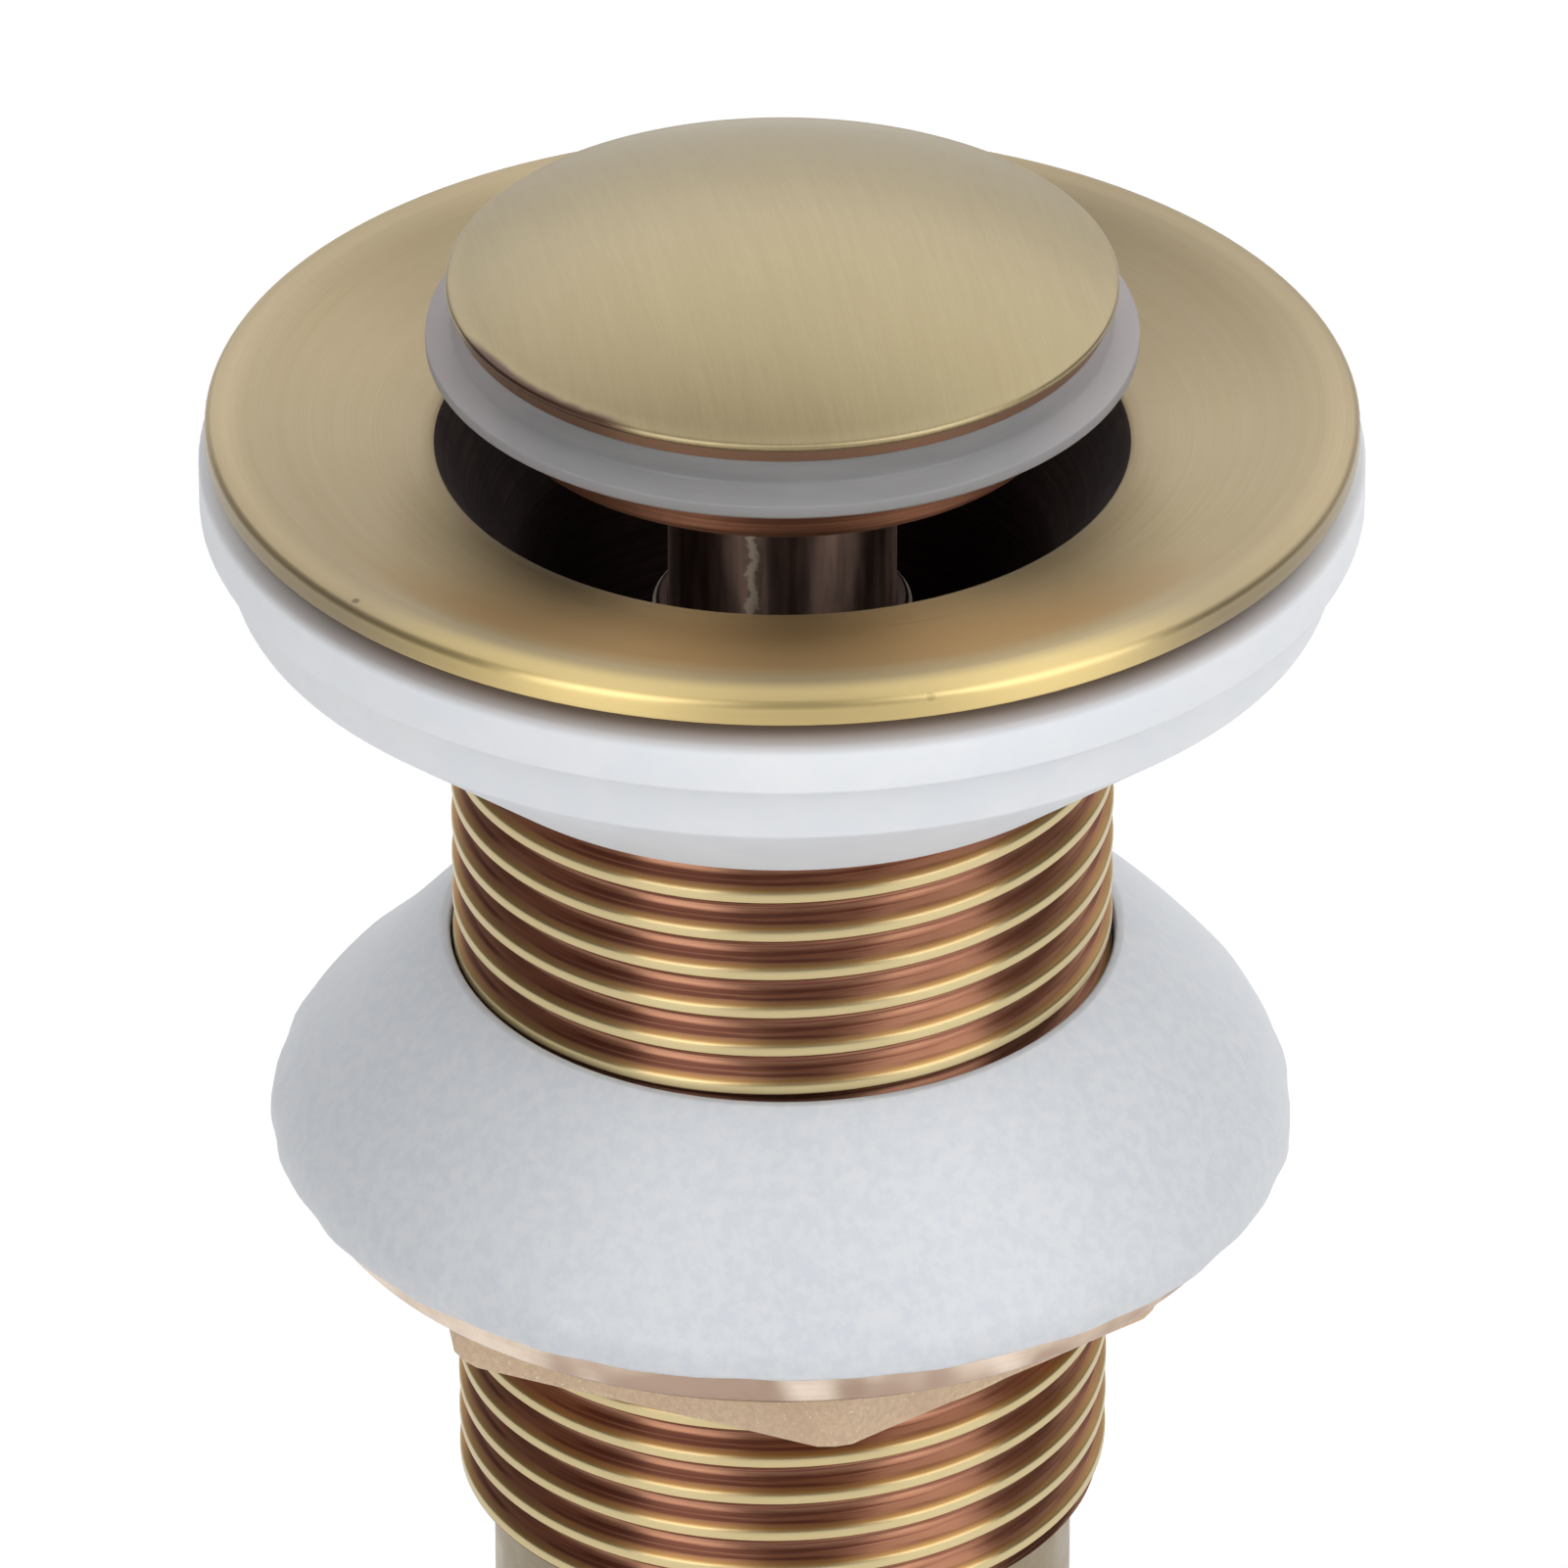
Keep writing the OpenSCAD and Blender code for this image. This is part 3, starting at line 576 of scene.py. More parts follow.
def straight_brushed_brass(plug):
    """Antique brass with straight, slightly slanted brush lines and a worn brown edge."""
    finish = Finish(
        "straight_brushed_brass", plug.cap_shade, Metallic=1.0, Coat_Weight=0.8, Coat_Roughness=0.3,
    )
    slant = math.radians(11)
    fine = finish.noise(finish.brushed(slant, 18.0, 0.35), detail=4, rough=0.7)
    finish.streak(plug.cap_brass, fine, finish.noise(finish.brushed(slant, 2.2, 0.1), detail=2))
    finish.cover(plug.cap_shade, finish.cloud(0.16, 4), 0.42, 0.75, 0.25)
    wander = finish.wander(finish.cloud(0.4, 2), 0.45)
    edge = finish.range(finish.plus(finish.radius(), wander), 18.3, 18.7)
    across, ahead = UNWORN_WAY
    side = finish.plus(finish.times(finish.along("X"), across), finish.times(finish.along("Y"), ahead))
    patch = finish.range(side, -17.2, -18.2)
    finish.lay(plug.cap_worn, finish.times(edge, patch))
    under = finish.blend(finish.times(patch, 0.6), plug.cap_band, plug.cap_worn)
    finish.cover(under, finish.along("Z"), 9.5, 9.36)
    pits = finish.pits(0.16, 0.04)
    finish.lay((0.06, 0.045, 0.03), finish.times(pits, 0.8))
    finish.roughen(fine, 0.42, 0.49, 0.3, 0.75)
    finish.bump(finish.minus(fine, finish.times(pits, 3.0)), 0.07, 0.02)
    return finish.done()


def clear_silicone(plug):
    """Clear grey silicone with faint flow marks, with painted light on the lip's side and at both ends."""
    finish = Finish(
        "clear_silicone", dim(plug.seal, 0.85), IOR=1.41, Subsurface_Weight=0.45,
        Subsurface_Radius=(1.0, 1.0, 1.0), Subsurface_Scale=0.5 * MM, Transmission_Weight=0.5,
    )
    speck = finish.cloud(1.6, 4)
    rise = finish.along("Z")
    finish.cover(plug.seal, finish.turning(1.4, 2.0))
    # Painted light: a little paler on the lower part of the cone
    finish.cover(plug.seal_lip_painted_light, rise, 7.4, 7.1, 0.3)
    # Painted light at both ends of the seal
    finish.cover(plug.seal_ends_painted_light, finish.math("ABSOLUTE", finish.along("X")), 12.0, 20.0, 0.7)
    # Painted light on the lip's side
    finish.cover(plug.seal_lip_painted_light, rise, 6.62, 6.52)
    finish.roughen(speck, 0.4, 0.5)
    finish.bump(speck, 0.06, 0.03)
    return finish.done()


def bronze(name, tone, dark, rough):
    """Dark turned bronze."""
    finish = Finish(name, dark, Metallic=1.0)
    fine = finish.turning(6.0, 1.5, 4)
    stain = finish.cloud(0.45, 5, 0.6)
    finish.cover(tone, fine)
    finish.cover(dark, stain, 0.45, 0.72, 0.45)
    finish.roughen(stain, rough, rough + 0.14)
    finish.bump(fine, 0.25, 0.02)
    finish.lathe_grain(0.8)
    return finish.done()


def streaked_bronze(plug):
    """Dark bronze with a ragged bright streak down the front."""
    finish = Finish("streaked_bronze", dim(plug.barrel, 0.68), Metallic=1.0)
    drawn = finish.node("Mapping", {"Vector": finish.mm, "Scale": (1.0, 1.0, 0.12)}).outputs[0]
    lines = finish.noise(drawn, 1.4, 4, 0.6)
    wander = finish.wander(finish.cloud(0.9, 4, 0.7), 1.6)
    off = finish.math("ABSOLUTE", finish.plus(finish.plus(finish.along("X"), 1.7), wander))
    front = finish.range(finish.along("Y"), -3.0, -4.5)
    streak = finish.times(finish.range(off, 0.42, 0.12), front)
    finish.cover(plug.barrel, lines, 0.35, 0.7)
    finish.lay(plug.barrel_streak, streak)
    finish.roughen(lines, 0.38, 0.48)
    finish.bump(finish.plus(lines, streak), 0.15, 0.05)
    finish.lathe_grain(0.92)
    return finish.done()


def gland_bronze():
    """Dark bronze of the gland with a painted highlight on its chamfer."""
    finish = Finish("gland_bronze", shade(52, 38, 32), Metallic=1.0)
    fine = finish.turning(6.0, 1.5, 4)
    finish.cover(shade(78, 58, 48), fine)
    # Painted highlight: near-white colour laid on the top chamfer
    top = finish.range(finish.along("Z"), -11.22, -11.16)
    finish.lay(shade(250, 238, 220), finish.times(top, finish.range(finish.radius(), 7.15, 7.25)))
    finish.roughen(fine, 0.34, 0.46)
    finish.bump(fine, 0.2, 0.02)
    finish.lathe_grain(0.8)
    return finish.done()


def mottled_rubber(name, tone, mottle, rough, glow, grain, scale, painted_shade=None):
    """Pale rubber with soft mottling that lets some light through, with painted shade under the rim if
    wanted.
    """
    finish = Finish(
        name, mottle, IOR=1.45, Subsurface_Weight=glow, Subsurface_Radius=(1.0, 1.0, 1.0),
        Subsurface_Scale=2.0 * MM,
    )
    cloud = finish.cloud(scale, 6, 0.62)
    fleck = finish.cloud(1.3, 5, 0.7)
    finish.cover(tone, cloud, 0.36, 0.66)
    finish.cover(dim(mottle, 0.92), fleck, 0.55, 0.78, 0.18)
    if painted_shade:
        # Painted shade under the rim, laid thickest at the front
        front = finish.range(finish.along("Y"), 0.0, -26.0, 0.25, 1)
        finish.lay(painted_shade, finish.times(finish.range(finish.along("Z"), -1.75, -0.55), front))
    finish.roughen(cloud, rough, rough + 0.12)
    finish.bump(finish.plus(fleck, finish.cloud(4.0)), grain, 0.05)
    return finish.done()


def polished_nut_brass(nut):
    """Bright turned brass of the nut's flange, with duller stretches."""
    finish = Finish("polished_nut_brass", dim(nut.polished, 0.92), Metallic=1.0)
    fine = finish.turning(6.0, 1.5, 4)
    smear = finish.cloud(0.4, 4)
    finish.cover(nut.polished, fine)
    finish.cover(nut.cast_shade, smear, 0.45, 0.75, 0.35)
    finish.cover(nut.polished_shade, finish.cloud(0.11, 2), 0.43, 0.6, 0.9)
    finish.roughen(smear, 0.2, 0.28)
    finish.bump(fine, 0.2, 0.02)
    finish.lathe_grain(0.94)
    return finish.done()


def sand_cast_brass(nut):
    """Grainy cast brass of the nut's hexagon, with painted glints."""
    finish = Finish("sand_cast_brass", nut.cast_shade, Metallic=0.7)
    grain = finish.cloud(2.6, 6, 0.75)
    finish.cover(nut.cast, grain, 0.36, 0.64)
    finish.cover(nut.cast_shade, finish.cloud(0.3, 4), 0.4, 0.7, 0.3)
    # Painted glints: pale specks laid over the grain
    finish.cover(shade(236, 220, 200), finish.cloud(3.4), 0.62, 0.72)
    finish.roughen(grain, 0.62, 0.78)
    finish.bump(grain, 0.7, 0.16)
    return finish.done()


def drawn_steel():
    """Steel wire and pins with faint drawing lines."""
    finish = Finish("drawn_steel", (0.30, 0.31, 0.33), Metallic=1.0)
    lines = finish.cloud(3.0, 5, 0.7)
    finish.cover((0.55, 0.56, 0.58), lines)
    finish.roughen(lines, 0.22, 0.38)
    finish.bump(lines, 0.15, 0.02)
    return finish.done()


def moulded_plastic():
    """Slippery off-white plastic of the latch drum."""
    finish = Finish("moulded_plastic", shade(214, 208, 192), IOR=1.48)
    cloud = finish.cloud(0.5, 4)
    finish.lay(shade(236, 232, 220), cloud)
    finish.roughen(cloud, 0.35, 0.5)
    finish.bump(finish.cloud(3.0), 0.1, 0.03)
    return finish.done()


def black_ring_rubber():
    """Black rubber with a dusty bloom."""
    finish = Finish("black_ring_rubber", (0.018, 0.018, 0.018), IOR=1.5)
    bloom = finish.cloud(0.8, 5, 0.65)
    finish.cover((0.06, 0.06, 0.062), bloom, 0.45, 0.75)
    finish.roughen(bloom, 0.5, 0.7)
    finish.bump(bloom, 0.2, 0.04)
    return finish.done()


# One turn of the thread: share of the lead from a crest's middle, and share of the groove's depth
THREAD_FORM = (
    (0.00, 0.00), (0.075, 0.00), (0.105, 0.03), (0.14, 0.12), (0.21, 0.35),
    (0.29, 0.62), (0.37, 0.87), (0.43, 0.98), (0.52, 1.00), (0.62, 0.97),
    (0.69, 0.76), (0.76, 0.42), (0.82, 0.10), (0.86, 0.01), (0.90, 0.00),
)


def cut_thread(bm, top_ring, end_ring, body, zone):
    """Fills the wall between two rings with a right-hand thread."""
    top_z = top_ring[0].co.z
    end_z = end_ring[0].co.z
    margin = 0.03 * MM
    run_out = 1.2 * MM
    end_share = 0.35
    front_turn = 0.75
    lead = body.thread_lead
    start = body.crest_height - lead * front_turn
    columns = []
    for c in range(SIDES):
        way = TAU * c / SIDES
        lift = start + lead * c / SIDES
        column = {}
        first = math.floor((end_z - lift) / lead) - 1
        last = math.ceil((top_z - lift) / lead) + 1
        for number_of_turn in range(first, last):
            for i, (part, cut) in enumerate(THREAD_FORM):
                z = lift + (number_of_turn + part) * lead
                if end_z + margin < z < top_z - margin:
                    fade = min(1.0, (top_z - z) / run_out, end_share + (z - end_z) / run_out)
                    r = body.thread_radius - body.thread_depth * cut * fade
                    vert = bm.verts.new((r * math.cos(way), r * math.sin(way), z))
                    column[number_of_turn * len(THREAD_FORM) + i] = vert
        columns.append(column)
    for c in range(SIDES):
        near = columns[c]
        after = (c + 1) % SIDES
        wrap = len(THREAD_FORM) if after == 0 else 0
        far = {key - wrap: vert for key, vert in columns[after].items()}
        both = sorted(near.keys() & far.keys())
        walls = [[near[a], far[a], far[b], near[b]] for a, b in zip(both, both[1:])]
        walls.append(
            [end_ring[c], end_ring[after]]
            + [far[key] for key in sorted(far) if key <= both[0]]
            + [near[key] for key in sorted(near, reverse=True) if key <= both[0]]
        )
        walls.append(
            [top_ring[after], top_ring[c]]
            + [near[key] for key in sorted(near, reverse=True) if key >= both[-1]]
            + [far[key] for key in sorted(far) if key >= both[-1]]
        )
        for wall in walls:
            bm.faces.new(wall).material_index = zone


def dish_height(edge, crown, crown_radius):
    """Height of the middle of a ball that runs from the hole's edge smoothly into the rim's crown."""
    near, far = 0.0, 1.0
    for _ in range(60):
        middle = (near + far) / 2
        slack = math.hypot(crown[0], middle - crown[1]) - crown_radius - math.hypot(edge[0], middle - edge[1])
        near, far = (middle, far) if slack > 0 else (near, middle)
    return near


class WASTE_OT_body(bpy.types.Operator):
    """Makes the flange, the funnel throat, the threaded shank and the neck"""
    bl_idname = "waste.body"
    bl_label = "Waste body"

    def execute(self, context):
        body = settings(context, "body")
        flange_zone, bore_zone, thread_zone, neck_zone = range(4)
        flange_r, foot, rim_z = extent("waste_body")
        crown = (flange_r - body.crown_inset, rim_z - body.crown_radius)
        edge_r = flange_r - body.rim_edge
        edge_z = crown[1] + math.sqrt((body.crown_radius - body.rim_edge) ** 2 - (edge_r - crown[0]) ** 2)
        hole_r = body.hole_radius
        ball_z = dish_height((hole_r, body.hole_edge), crown, body.crown_radius)
        ball_r = math.hypot(hole_r, ball_z - body.hole_edge)
        lean = math.atan2(crown[0], ball_z - crown[1])
        soft = 0.25 * MM
        dish_r = hole_r + soft
        dish_steps = 15
        section = []
        for k in range(dish_steps):
            r = dish_r + (ball_r * math.sin(lean) - dish_r) * k / dish_steps
            section.append((r, ball_z - math.sqrt(ball_r ** 2 - r ** 2), flange_zone))
        tip = math.atan2(edge_z - crown[1], edge_r - crown[0])
        section += arc(crown, body.crown_radius, math.pi / 2 + lean, tip, 12, flange_zone)[:-1]
        section += arc((edge_r, edge_z), body.rim_edge, tip, 0, 8, flange_zone)
        section += arc((flange_r - soft, soft), soft, 0, -math.pi / 2, 5, flange_zone)
        section += [(body.land_radius, 0.0, flange_zone), (body.thread_radius, body.seat, flange_zone)]
        top_index = len(section)
        section += [
            (body.thread_radius, body.thread_top, thread_zone),
            (body.thread_radius - 0.4 * MM, body.thread_end, neck_zone),
            (body.neck_radius + 0.2 * MM, body.thread_end, neck_zone),
            (body.neck_radius, body.thread_end - 0.2 * MM, neck_zone),
            (body.neck_radius, foot + 0.3 * MM, neck_zone),
            (body.neck_radius - 0.3 * MM, foot, neck_zone),
            (body.socket_radius, foot, bore_zone),
            (body.socket_radius, body.socket_top, bore_zone),
            (body.ledge_radius, body.socket_top, bore_zone),
            (body.ledge_radius, body.ledge_top, bore_zone),
            (body.bore_radius, body.ledge_top, bore_zone),
            (body.bore_radius, body.throat_foot - 0.5 * MM, bore_zone),
            (body.bore_radius + 0.3 * MM, body.throat_foot + 0.5 * MM, bore_zone),
            (hole_r - 0.2 * MM, body.hole_edge - 0.32 * MM, bore_zone),
            (hole_r, body.hole_edge - 0.1 * MM, flange_zone),
        ]
        bm = bmesh.new()
        rings = turn(bm, section, skip=(thread_zone,))
        cut_thread(bm, rings[top_index], rings[top_index + 1], body, thread_zone)
        finishes = [ring_brushed_brass(body), bore_brown(body), thread_copper(body), satin_brass(body)]
        place(finished(bm, "turned_body", finishes, 50), "waste", "flange_brass", "waste_body")
        return {"FINISHED"}


class WASTE_OT_cap(bpy.types.Operator):
    """Makes the domed cap with its rounded rim"""
    bl_idname = "waste.cap"
    bl_label = "Plug cap"

    def execute(self, context):
        plug = settings(context, "plug")
        cap_r, foot, top = extent("plug_cap")
        hole_top = foot + 2.8 * MM
        half = plug.cap_rim_thickness / 2
        rim = (cap_r - half, plug.cap_rim + half)
        rise = top - plug.cap_rim - plug.cap_rim_thickness
        ball_r = (rim[0] ** 2 + rise ** 2) / (2 * rise)
        dome_r = rim[0] - 0.06 * MM
        dome_steps = 24
        section = [(0.0, top, 0)]
        for k in range(1, dome_steps + 1):
            r = dome_r * (k / dome_steps)
            section.append((r, top - ball_r + math.sqrt(ball_r ** 2 - r ** 2), 0))
        section += arc(rim, half, math.radians(66), math.radians(-90), 10, 0)
        section += [
            (plug.cap_band_radius + 0.1 * MM, plug.cap_rim, 0),
            (plug.cap_band_radius, plug.cap_rim - 0.1 * MM, 0),
            (plug.cap_band_radius, foot, 0),
            (STUD_HOLE_R, foot, 0),
            (STUD_HOLE_R, hole_top, 0),
            (0.0, hole_top, 0),
        ]
        turned_piece("domed_cap", section, [straight_brushed_brass(plug)], "plug", "cap_brass", "plug_cap")
        return {"FINISHED"}


class WASTE_OT_seal(bpy.types.Operator):
    """Makes the clear lip seal under the cap"""
    bl_idname = "waste.seal"
    bl_label = "Plug seal"

    def execute(self, context):
        plug = settings(context, "plug")
        lip_r, lip_z, top = extent("plug_seal")
        base_r = extent("plug_base")[0]
        inner = 9.03 * MM
        section = rounded([
            (inner, lip_z + SEAL_STEP, 0),
            (base_r, lip_z + SEAL_STEP, 0.3 * MM),
            (lip_r - 0.6 * MM, lip_z, 0.15 * MM),
            (lip_r, lip_z, 0.22 * MM),
            (lip_r, lip_z + 0.8 * MM, 0.12 * MM),
            (plug.cap_band_radius + 0.15 * MM, lip_z + 1.45 * MM, 0.25 * MM),
            (plug.cap_band_radius, top, 0.1 * MM),
            (inner, top, 0),
        ])
        turned_piece("lip_seal", section, [clear_silicone(plug)], "plug", "clear_silicone", "plug_seal")
        return {"FINISHED"}


class WASTE_OT_push_parts(bpy.types.Operator):
    """Makes the disc under the seal and the push barrel"""
    bl_idname = "waste.push_parts"
    bl_label = "Base and barrel"

    def execute(self, context):
        plug = settings(context, "plug")
        base_r, base_z, top = extent("plug_base")
        clamp = extent("plug_seal")[1] + SEAL_STEP
        spigot_r = 9.0 * MM
        section = rounded([
            (STUD_HOLE_R, base_z, 0),
            (base_r - 0.6 * MM, base_z, 0.25 * MM),
            (base_r, base_z + 0.6 * MM, 0.25 * MM),
            (base_r, clamp, 0),
            (spigot_r, clamp, 0),
            (spigot_r, top, 0),
            (STUD_HOLE_R, top, 0),
        ])
        copper = bronze("copper_brown", plug.base, dim(plug.base, 0.6), 0.45)
        turned_piece("seal_base", section, [copper], "plug", "base_bronze", "plug_base")

        collar_r, foot, _ = extent("push_barrel")
        collar_top = foot + 3.0 * MM
        hole_foot = base_z - 4.2 * MM
        roof = base_z - 5.0 * MM
        barrel_r = plug.barrel_radius
        inner = barrel_r - plug.barrel_wall
        section = rounded([
            (inner, foot, 0),
            (collar_r, foot, 0.2 * MM),
            (collar_r, collar_top, 0.15 * MM),
            (barrel_r, collar_top, 0),
            (barrel_r, base_z, 0),
            (STUD_HOLE_R, base_z, 0),
            (STUD_HOLE_R, hole_foot, 0),
            (0.0, hole_foot, 0),
            (0.0, roof, 0),
            (inner, roof, 0.3 * MM),
        ])
        finishes = [streaked_bronze(plug)]
        turned_piece(
            "sliding_barrel", section, finishes, "plug", "barrel_bronze", "push_barrel", BARREL_SIDES
        )
        return {"FINISHED"}


class WASTE_OT_gasket(bpy.types.Operator):
    """Makes the stepped and tapered gasket under the flange"""
    bl_idname = "waste.gasket"
    bl_label = "Basin gasket"

    def execute(self, context):
        rubber = settings(context, "rubber")
        body = settings(context, "body")
        outer, foot, _ = extent("basin_gasket")
        bore = 19.03 * MM
        land_z = -0.03 * MM
        step_z = -4.2 * MM
        section = rounded([
            (bore, body.seat, 0),
            (body.land_radius, land_z, 0),
            (outer, -1.1 * MM, 0.35 * MM),
            (outer, step_z, 0.3 * MM),
            (outer - 0.9 * MM, step_z, 0.12 * MM),
            (outer - 1.7 * MM, -7.9 * MM, 0.45 * MM),
            (21.1 * MM, foot, 0.4 * MM),
            (bore, foot, 0.2 * MM),
        ])

        def uneven(way, r, z):
            if r <= 28 * MM or z >= -0.5 * MM:
                return r, z
            wave = math.sin(3 * way + 0.7) + 0.6 * math.sin(7 * way + 2.1) + 0.4 * math.sin(13 * way)
            return r - 0.03 * MM * (1 + wave / 2), z

        finish = mottled_rubber(
            "white_gasket_rubber", rubber.gasket, rubber.gasket_shade,
            rough=0.45, glow=0.15, grain=0.08, scale=0.16, painted_shade=rubber.gasket_painted_shade,
        )
        turned_piece(
            "stepped_gasket", section, [finish], "waste", "white_rubber", "basin_gasket", shape=uneven
        )
        return {"FINISHED"}


class WASTE_OT_washer(bpy.types.Operator):
    """Makes the milky cone washer with its uneven cut rim"""
    bl_idname = "waste.washer"
    bl_label = "Lower washer"

    def execute(self, context):
        rubber = settings(context, "rubber")
        rim_r, foot, top = extent("lower_washer")
        bore = rubber.washer_bore
        mouth = bore + 0.6 * MM
        seat_r = extent("back_nut")[0] + 0.3 * MM
        rim_top = foot + rubber.washer_rim
        start = Vector((rim_r, rim_top))
        chord = Vector((mouth, top)) - start
        across = Vector((chord.y, -chord.x)).normalized()
        flank_steps = 20
        flank = []
        for k in range(3, flank_steps):
            t = k / flank_steps
            point = start + chord * t + across * rubber.washer_bulge * 4 * t * (1 - t)
            flank.append((point.x, point.y, 0))
        section = rounded([
            (bore, foot, 0.2 * MM),
            (seat_r, foot, 0),
            (rim_r, foot, 0.35 * MM),
            (rim_r, rim_top, 3.0 * MM),
            *flank,
            (mouth, top, 0.25 * MM),
            (bore, top, 0.2 * MM),
        ])
        calm_r = 25 * MM
        back_left = 2.5

        def uneven(way, r, z):
            near = max(0.0, (r - calm_r) / (rim_r - calm_r)) ** 3
            wave = math.sin(2 * way + 0.4) + 0.7 * math.sin(5 * way + 1.9) + 0.5 * math.sin(11 * way + 0.6)
            nick = 0.35 * math.sin(23 * way + 2.0) + 0.25 * math.sin(41 * way)
            climb = min(max(0.0, (z - rim_top) / (top - rim_top)), 1.0) if r > bore + 0.5 * MM else 0.0
            dip = rubber.washer_dip * math.sin(math.pi * climb) * max(0.0, math.cos(way - back_left)) ** 3
            droop = rubber.washer_droop * math.cos(way) ** 2 * max(0.0, (r - seat_r) / (rim_r - seat_r))
            return r - rubber.washer_wave * near * (0.6 + 0.5 * wave + nick) * 0.6, z - dip - droop

        finish = mottled_rubber(
            "milky_silicone", rubber.washer, rubber.washer_shade, rough=0.36, glow=0.4, grain=0.1, scale=1.2,
        )
        turned_piece(
            "cone_washer", section, [finish], "washer", "washer_silicone", "lower_washer",
            WASHER_SIDES, uneven, 60,
        )
        return {"FINISHED"}


class WASTE_OT_nut(bpy.types.Operator):
    """Makes the back nut: a polished flange on a sand-cast hexagon"""
    bl_idname = "waste.nut"
    bl_label = "Back nut"

    def execute(self, context):
        nut = settings(context, "nut")
        ring_zone, hex_zone = range(2)
        flange_r, foot, top = extent("back_nut")
        bore = 19.08 * MM
        flats = nut.flats / 2
        section = rounded([
            (bore, top, 0.25 * MM, ring_zone),
            (bore, foot, 0.25 * MM, hex_zone),
            (flats, foot, 0.35 * MM, hex_zone),
            (flats, nut.flange_foot, 0.25 * MM, ring_zone),
            (flange_r, nut.flange_foot, 0.7 * MM, ring_zone),
            (flange_r, top, 0.5 * MM, ring_zone),
        ])

        def hexagon(way, r, z):
            if r < bore + 0.4 * MM or r > flats + 0.4 * MM or z > nut.flange_foot + 0.01 * MM:
                return r, z
            side = (way - nut.corner_angle) % (TAU / 6) - TAU / 12
            grow = min(1 / math.cos(side), nut.corner_radius / flats)
            grain = 0.02 * MM * math.sin(17 * way + 900 * z / MM)
            return r * grow + grain, z

        finishes = [polished_nut_brass(nut), sand_cast_brass(nut)]
        turned_piece(
            "flanged_nut", section, finishes, "nut", "nut_brass", "back_nut", shape=hexagon, sharp=28
        )
        return {"FINISHED"}


class WASTE_OT_tail(bpy.types.Operator):
    """Makes the tail pipe with its softened end"""
    bl_idname = "waste.tail"
    bl_label = "Tail pipe"

    def execute(self, context):
        tail_r, foot, top = extent("tail_pipe")
        shoulder = extent("waste_body")[1]
        spigot_r = 15.72 * MM
        bore = 14.8 * MM
        section = rounded([
            (bore, foot, 0.2 * MM),
            (tail_r, foot, 0.3 * MM),
            (tail_r, shoulder, 0.08 * MM),
            (spigot_r, shoulder, 0),
            (spigot_r, top, 0.2 * MM),
            (bore, top, 0.2 * MM),
        ])
        finish = bpy.data.materials.get("satin_brass") or satin_brass(settings(context, "body"))
        turned_piece("tail_tube", section, [finish], "waste", "tail_brass", "tail_pipe")
        return {"FINISHED"}


class WASTE_OT_spring(bpy.types.Operator):
    """Makes the return spring from round wire"""
    bl_idname = "waste.spring"
    bl_label = "Return spring"

    def execute(self, context):
        outer, foot, top = extent("return_spring")
        wire_r = 0.45 * MM
        coil_r = outer - wire_r
        turns = 6
        steps = turns * 36
        rise = top - foot - 2 * wire_r
        bm = bmesh.new()
        rings = []
        for k in range(steps + 1):
            way = TAU * turns * k / steps
            ring = []
            for i in range(WIRE_SIDES):
                side = TAU * i / WIRE_SIDES
                r = coil_r + wire_r * math.cos(side)
                z = foot + wire_r + rise * k / steps + wire_r * math.sin(side)
                ring.append(bm.verts.new((r * math.cos(way), r * math.sin(way), z)))
            rings.append(ring)
        for here, there in zip(rings, rings[1:]):
            for i in range(WIRE_SIDES):
                after = (i + 1) % WIRE_SIDES
                bm.faces.new((here[i], here[after], there[after], there[i]))
        bm.faces.new(rings[0][::-1])
        bm.faces.new(rings[-1])
        steel = bpy.data.materials.get("drawn_steel") or drawn_steel()
        piece = place(finished(bm, "coil_spring", [steel]), "waste", "steel", "return_spring")
        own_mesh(piece)
        return {"FINISHED"}


class WASTE_OT_inner_parts(bpy.types.Operator):
    """Gives the cartridge, the bridge and the small inner parts their finishes"""
    bl_idname = "waste.inner_parts"
    bl_label = "Inner parts"

    def execute(self, context):
        steel = bpy.data.materials.get("drawn_steel") or drawn_steel()
        turned = bronze("turned_brass", shade(176, 144, 92), shade(110, 84, 50), 0.28)
        dull = bronze("dull_brass", shade(138, 110, 72), shade(78, 58, 38), 0.36)
        finishes = {
            "gland_bush": gland_bronze(),
            "cartridge_stud": turned,
            "height_nut": turned,
            "cartridge_casing": dull,
            "bridge": dull,
            "guide_pins": steel,
            "thrust_washer": steel,
            "cap_stud": steel,
            "latch_drum": moulded_plastic(),
            "tail_ring": black_ring_rubber(),
        }
        for node, finish in finishes.items():
            slots = frame["nodes"][node].data.materials
            slots.clear()
            slots.append(finish)
        return {"FINISHED"}


def soft_lamp(name, azimuth, elevation, reach, size, watts):
    """Adds a soft lamp at an azimuth and an elevation in degrees, turned to the waste."""
    light = bpy.data.lights.new(name, "AREA")
    light.shape = "RECTANGLE"
    light.size, light.size_y = size
    light.energy = watts
    lamp = bpy.data.objects.new(name, light)
    azimuth, elevation = math.radians(azimuth), math.radians(elevation)
    flat = math.cos(elevation)
    away = Vector((math.sin(azimuth) * flat, -math.cos(azimuth) * flat, math.sin(elevation)))
    lamp.location = Vector((0, 0, -0.03)) + away * reach
    lamp.rotation_euler = away.to_track_quat("Z", "Y").to_euler()
    bpy.context.scene.collection.objects.link(lamp)


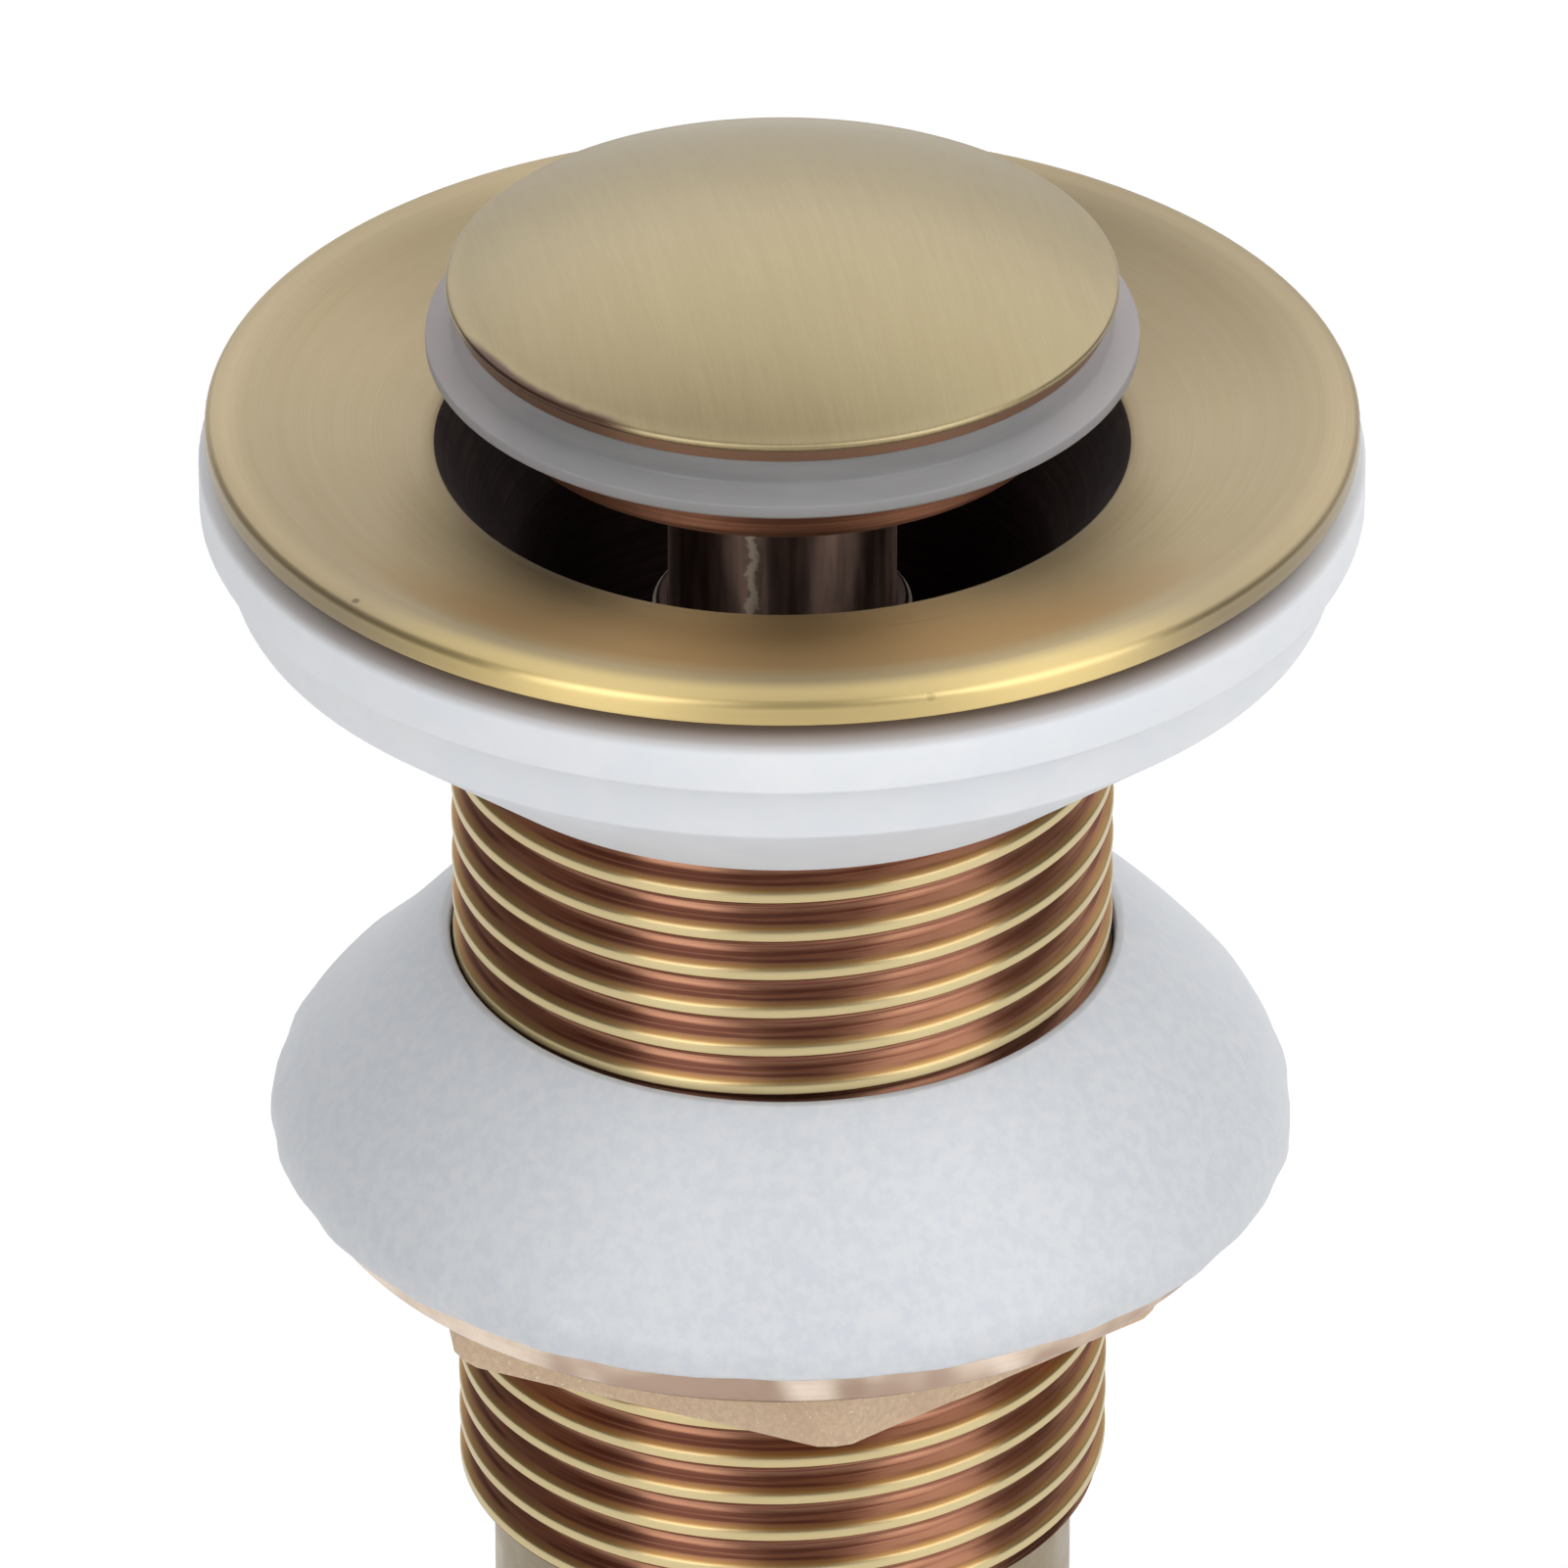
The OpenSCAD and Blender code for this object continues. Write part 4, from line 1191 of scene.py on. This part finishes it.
def white_floor(stage):
    """Pale floor that shows white, straight and in reflections, and keeps the waste's shadow."""
    floor = Finish("pale_floor", Base_Color=(*stage.floor, 1), Roughness=0.9)
    seen = floor.node("LightPath").outputs
    rays = seen["Is Camera Ray"]
    for kind in ("Is Glossy Ray", "Is Transmission Ray"):
        rays = floor.math("MAXIMUM", rays, seen[kind])
    strength = floor.times(rays, stage.floor_glow)
    glow = floor.node("Emission", {"Color": (1, 1, 1, 1), "Strength": strength})
    both = floor.node("AddShader", {0: floor.shader.outputs[0], 1: glow.outputs[0]})
    floor.tree.links.new(both.outputs[0], floor.tree.nodes["Material Output"].inputs["Surface"])
    return floor.material


def pale_studio(stage):
    """Surroundings that darken to both sides."""
    world = bpy.data.worlds.new("pale_studio")
    world.use_nodes = True
    studio = NodeMaker(world.node_tree)
    way = studio.node("TexCoord").outputs["Generated"]
    aside = studio.math("ABSOLUTE", studio.node("SeparateXYZ", {0: way}).outputs["X"])
    fall = studio.node("MapRange", {
        "Value": aside, "From Min": 0.5, "From Max": 0.85, "To Min": 1.0, "To Max": stage.side_fall,
    })
    sky = studio.tree.nodes["Background"]
    sky.inputs["Color"].default_value = (*stage.world, 1)
    studio.tree.links.new(fall.outputs["Result"], sky.inputs["Strength"])
    return world


class WASTE_OT_stage(bpy.types.Operator):
    """Lays the floor and sets the lamps, the surroundings and the camera"""
    bl_idname = "waste.stage"
    bl_label = "Stage"

    def execute(self, context):
        stage = settings(context, "stage")
        scene = context.scene
        scene.view_settings.view_transform = "Standard"
        half = 6.0
        z = CAD_BOX[0][2]
        corners = [(-half, -half, z), (half, -half, z), (half, half, z), (-half, half, z)]
        mesh = bpy.data.meshes.new("floor")
        mesh.from_pydata(corners, [], [(0, 1, 2, 3)])
        mesh.materials.append(white_floor(stage))
        floor = bpy.data.objects.new("floor", mesh)
        scene.collection.objects.link(floor)
        scene.world = pale_studio(stage)

        soft_lamp("left_lamp", -37, 38, 0.9, (0.46, 1.1), stage.left_power)
        soft_lamp("right_lamp", 55, 38, 0.9, (0.6, 1.1), stage.right_power)
        soft_lamp("back_lamp", 168, 45, 1.2, (1.8, 1.0), stage.back_power)
        soft_lamp("low_lamp", 180, 9, 1.5, (2.4, 0.45), stage.low_power)

        lens = bpy.data.cameras.new("photo_camera")
        lens.sensor_width = 36.0
        lens.lens = 330.36
        lens.clip_start = 0.01
        lens.clip_end = 50.0
        camera = bpy.data.objects.new("photo_camera", lens)
        camera.location = (0.000092, -0.7049, 0.4045)
        camera.rotation_euler = (math.radians(58.741), 0, 0)
        scene.collection.objects.link(camera)
        scene.camera = camera
        return {"FINISHED"}


MAKERS = (
    WASTE_OT_stage, WASTE_OT_body, WASTE_OT_cap, WASTE_OT_seal, WASTE_OT_push_parts, WASTE_OT_gasket,
    WASTE_OT_washer, WASTE_OT_nut, WASTE_OT_tail, WASTE_OT_spring, WASTE_OT_inner_parts,
)
GROUPS = {
    "body": WasteBodySettings,
    "plug": PlugSettings,
    "rubber": RubberSettings,
    "nut": NutSettings,
    "stage": StageSettings,
}


class WASTE_PT_sidebar(bpy.types.Panel):
    """Lists the waste's pieces and their settings"""
    bl_idname = "WASTE_PT_sidebar"
    bl_label = "Pop up basin waste"
    bl_space_type = "VIEW_3D"
    bl_region_type = "UI"
    bl_category = "Waste"

    def draw(self, context):
        layout = self.layout
        for maker in MAKERS:
            layout.operator(maker.bl_idname)
        for name, group in GROUPS.items():
            box = layout.box()
            box.label(text=name.capitalize())
            for field in group.__annotations__:
                box.prop(settings(context, name), field)


def register():
    for name, group in GROUPS.items():
        bpy.utils.register_class(group)
        setattr(bpy.types.Scene, "waste_" + name, bpy.props.PointerProperty(type=group))
    for maker in (*MAKERS, WASTE_PT_sidebar):
        bpy.utils.register_class(maker)


def unregister():
    for maker in (WASTE_PT_sidebar, *reversed(MAKERS)):
        bpy.utils.unregister_class(maker)
    for name, group in reversed(GROUPS.items()):
        delattr(bpy.types.Scene, "waste_" + name)
        bpy.utils.unregister_class(group)


def main():
    register()
    for maker in MAKERS:
        group, name = maker.bl_idname.split(".")
        getattr(getattr(bpy.ops, group), name)()


if __name__ == "__main__":
    main()
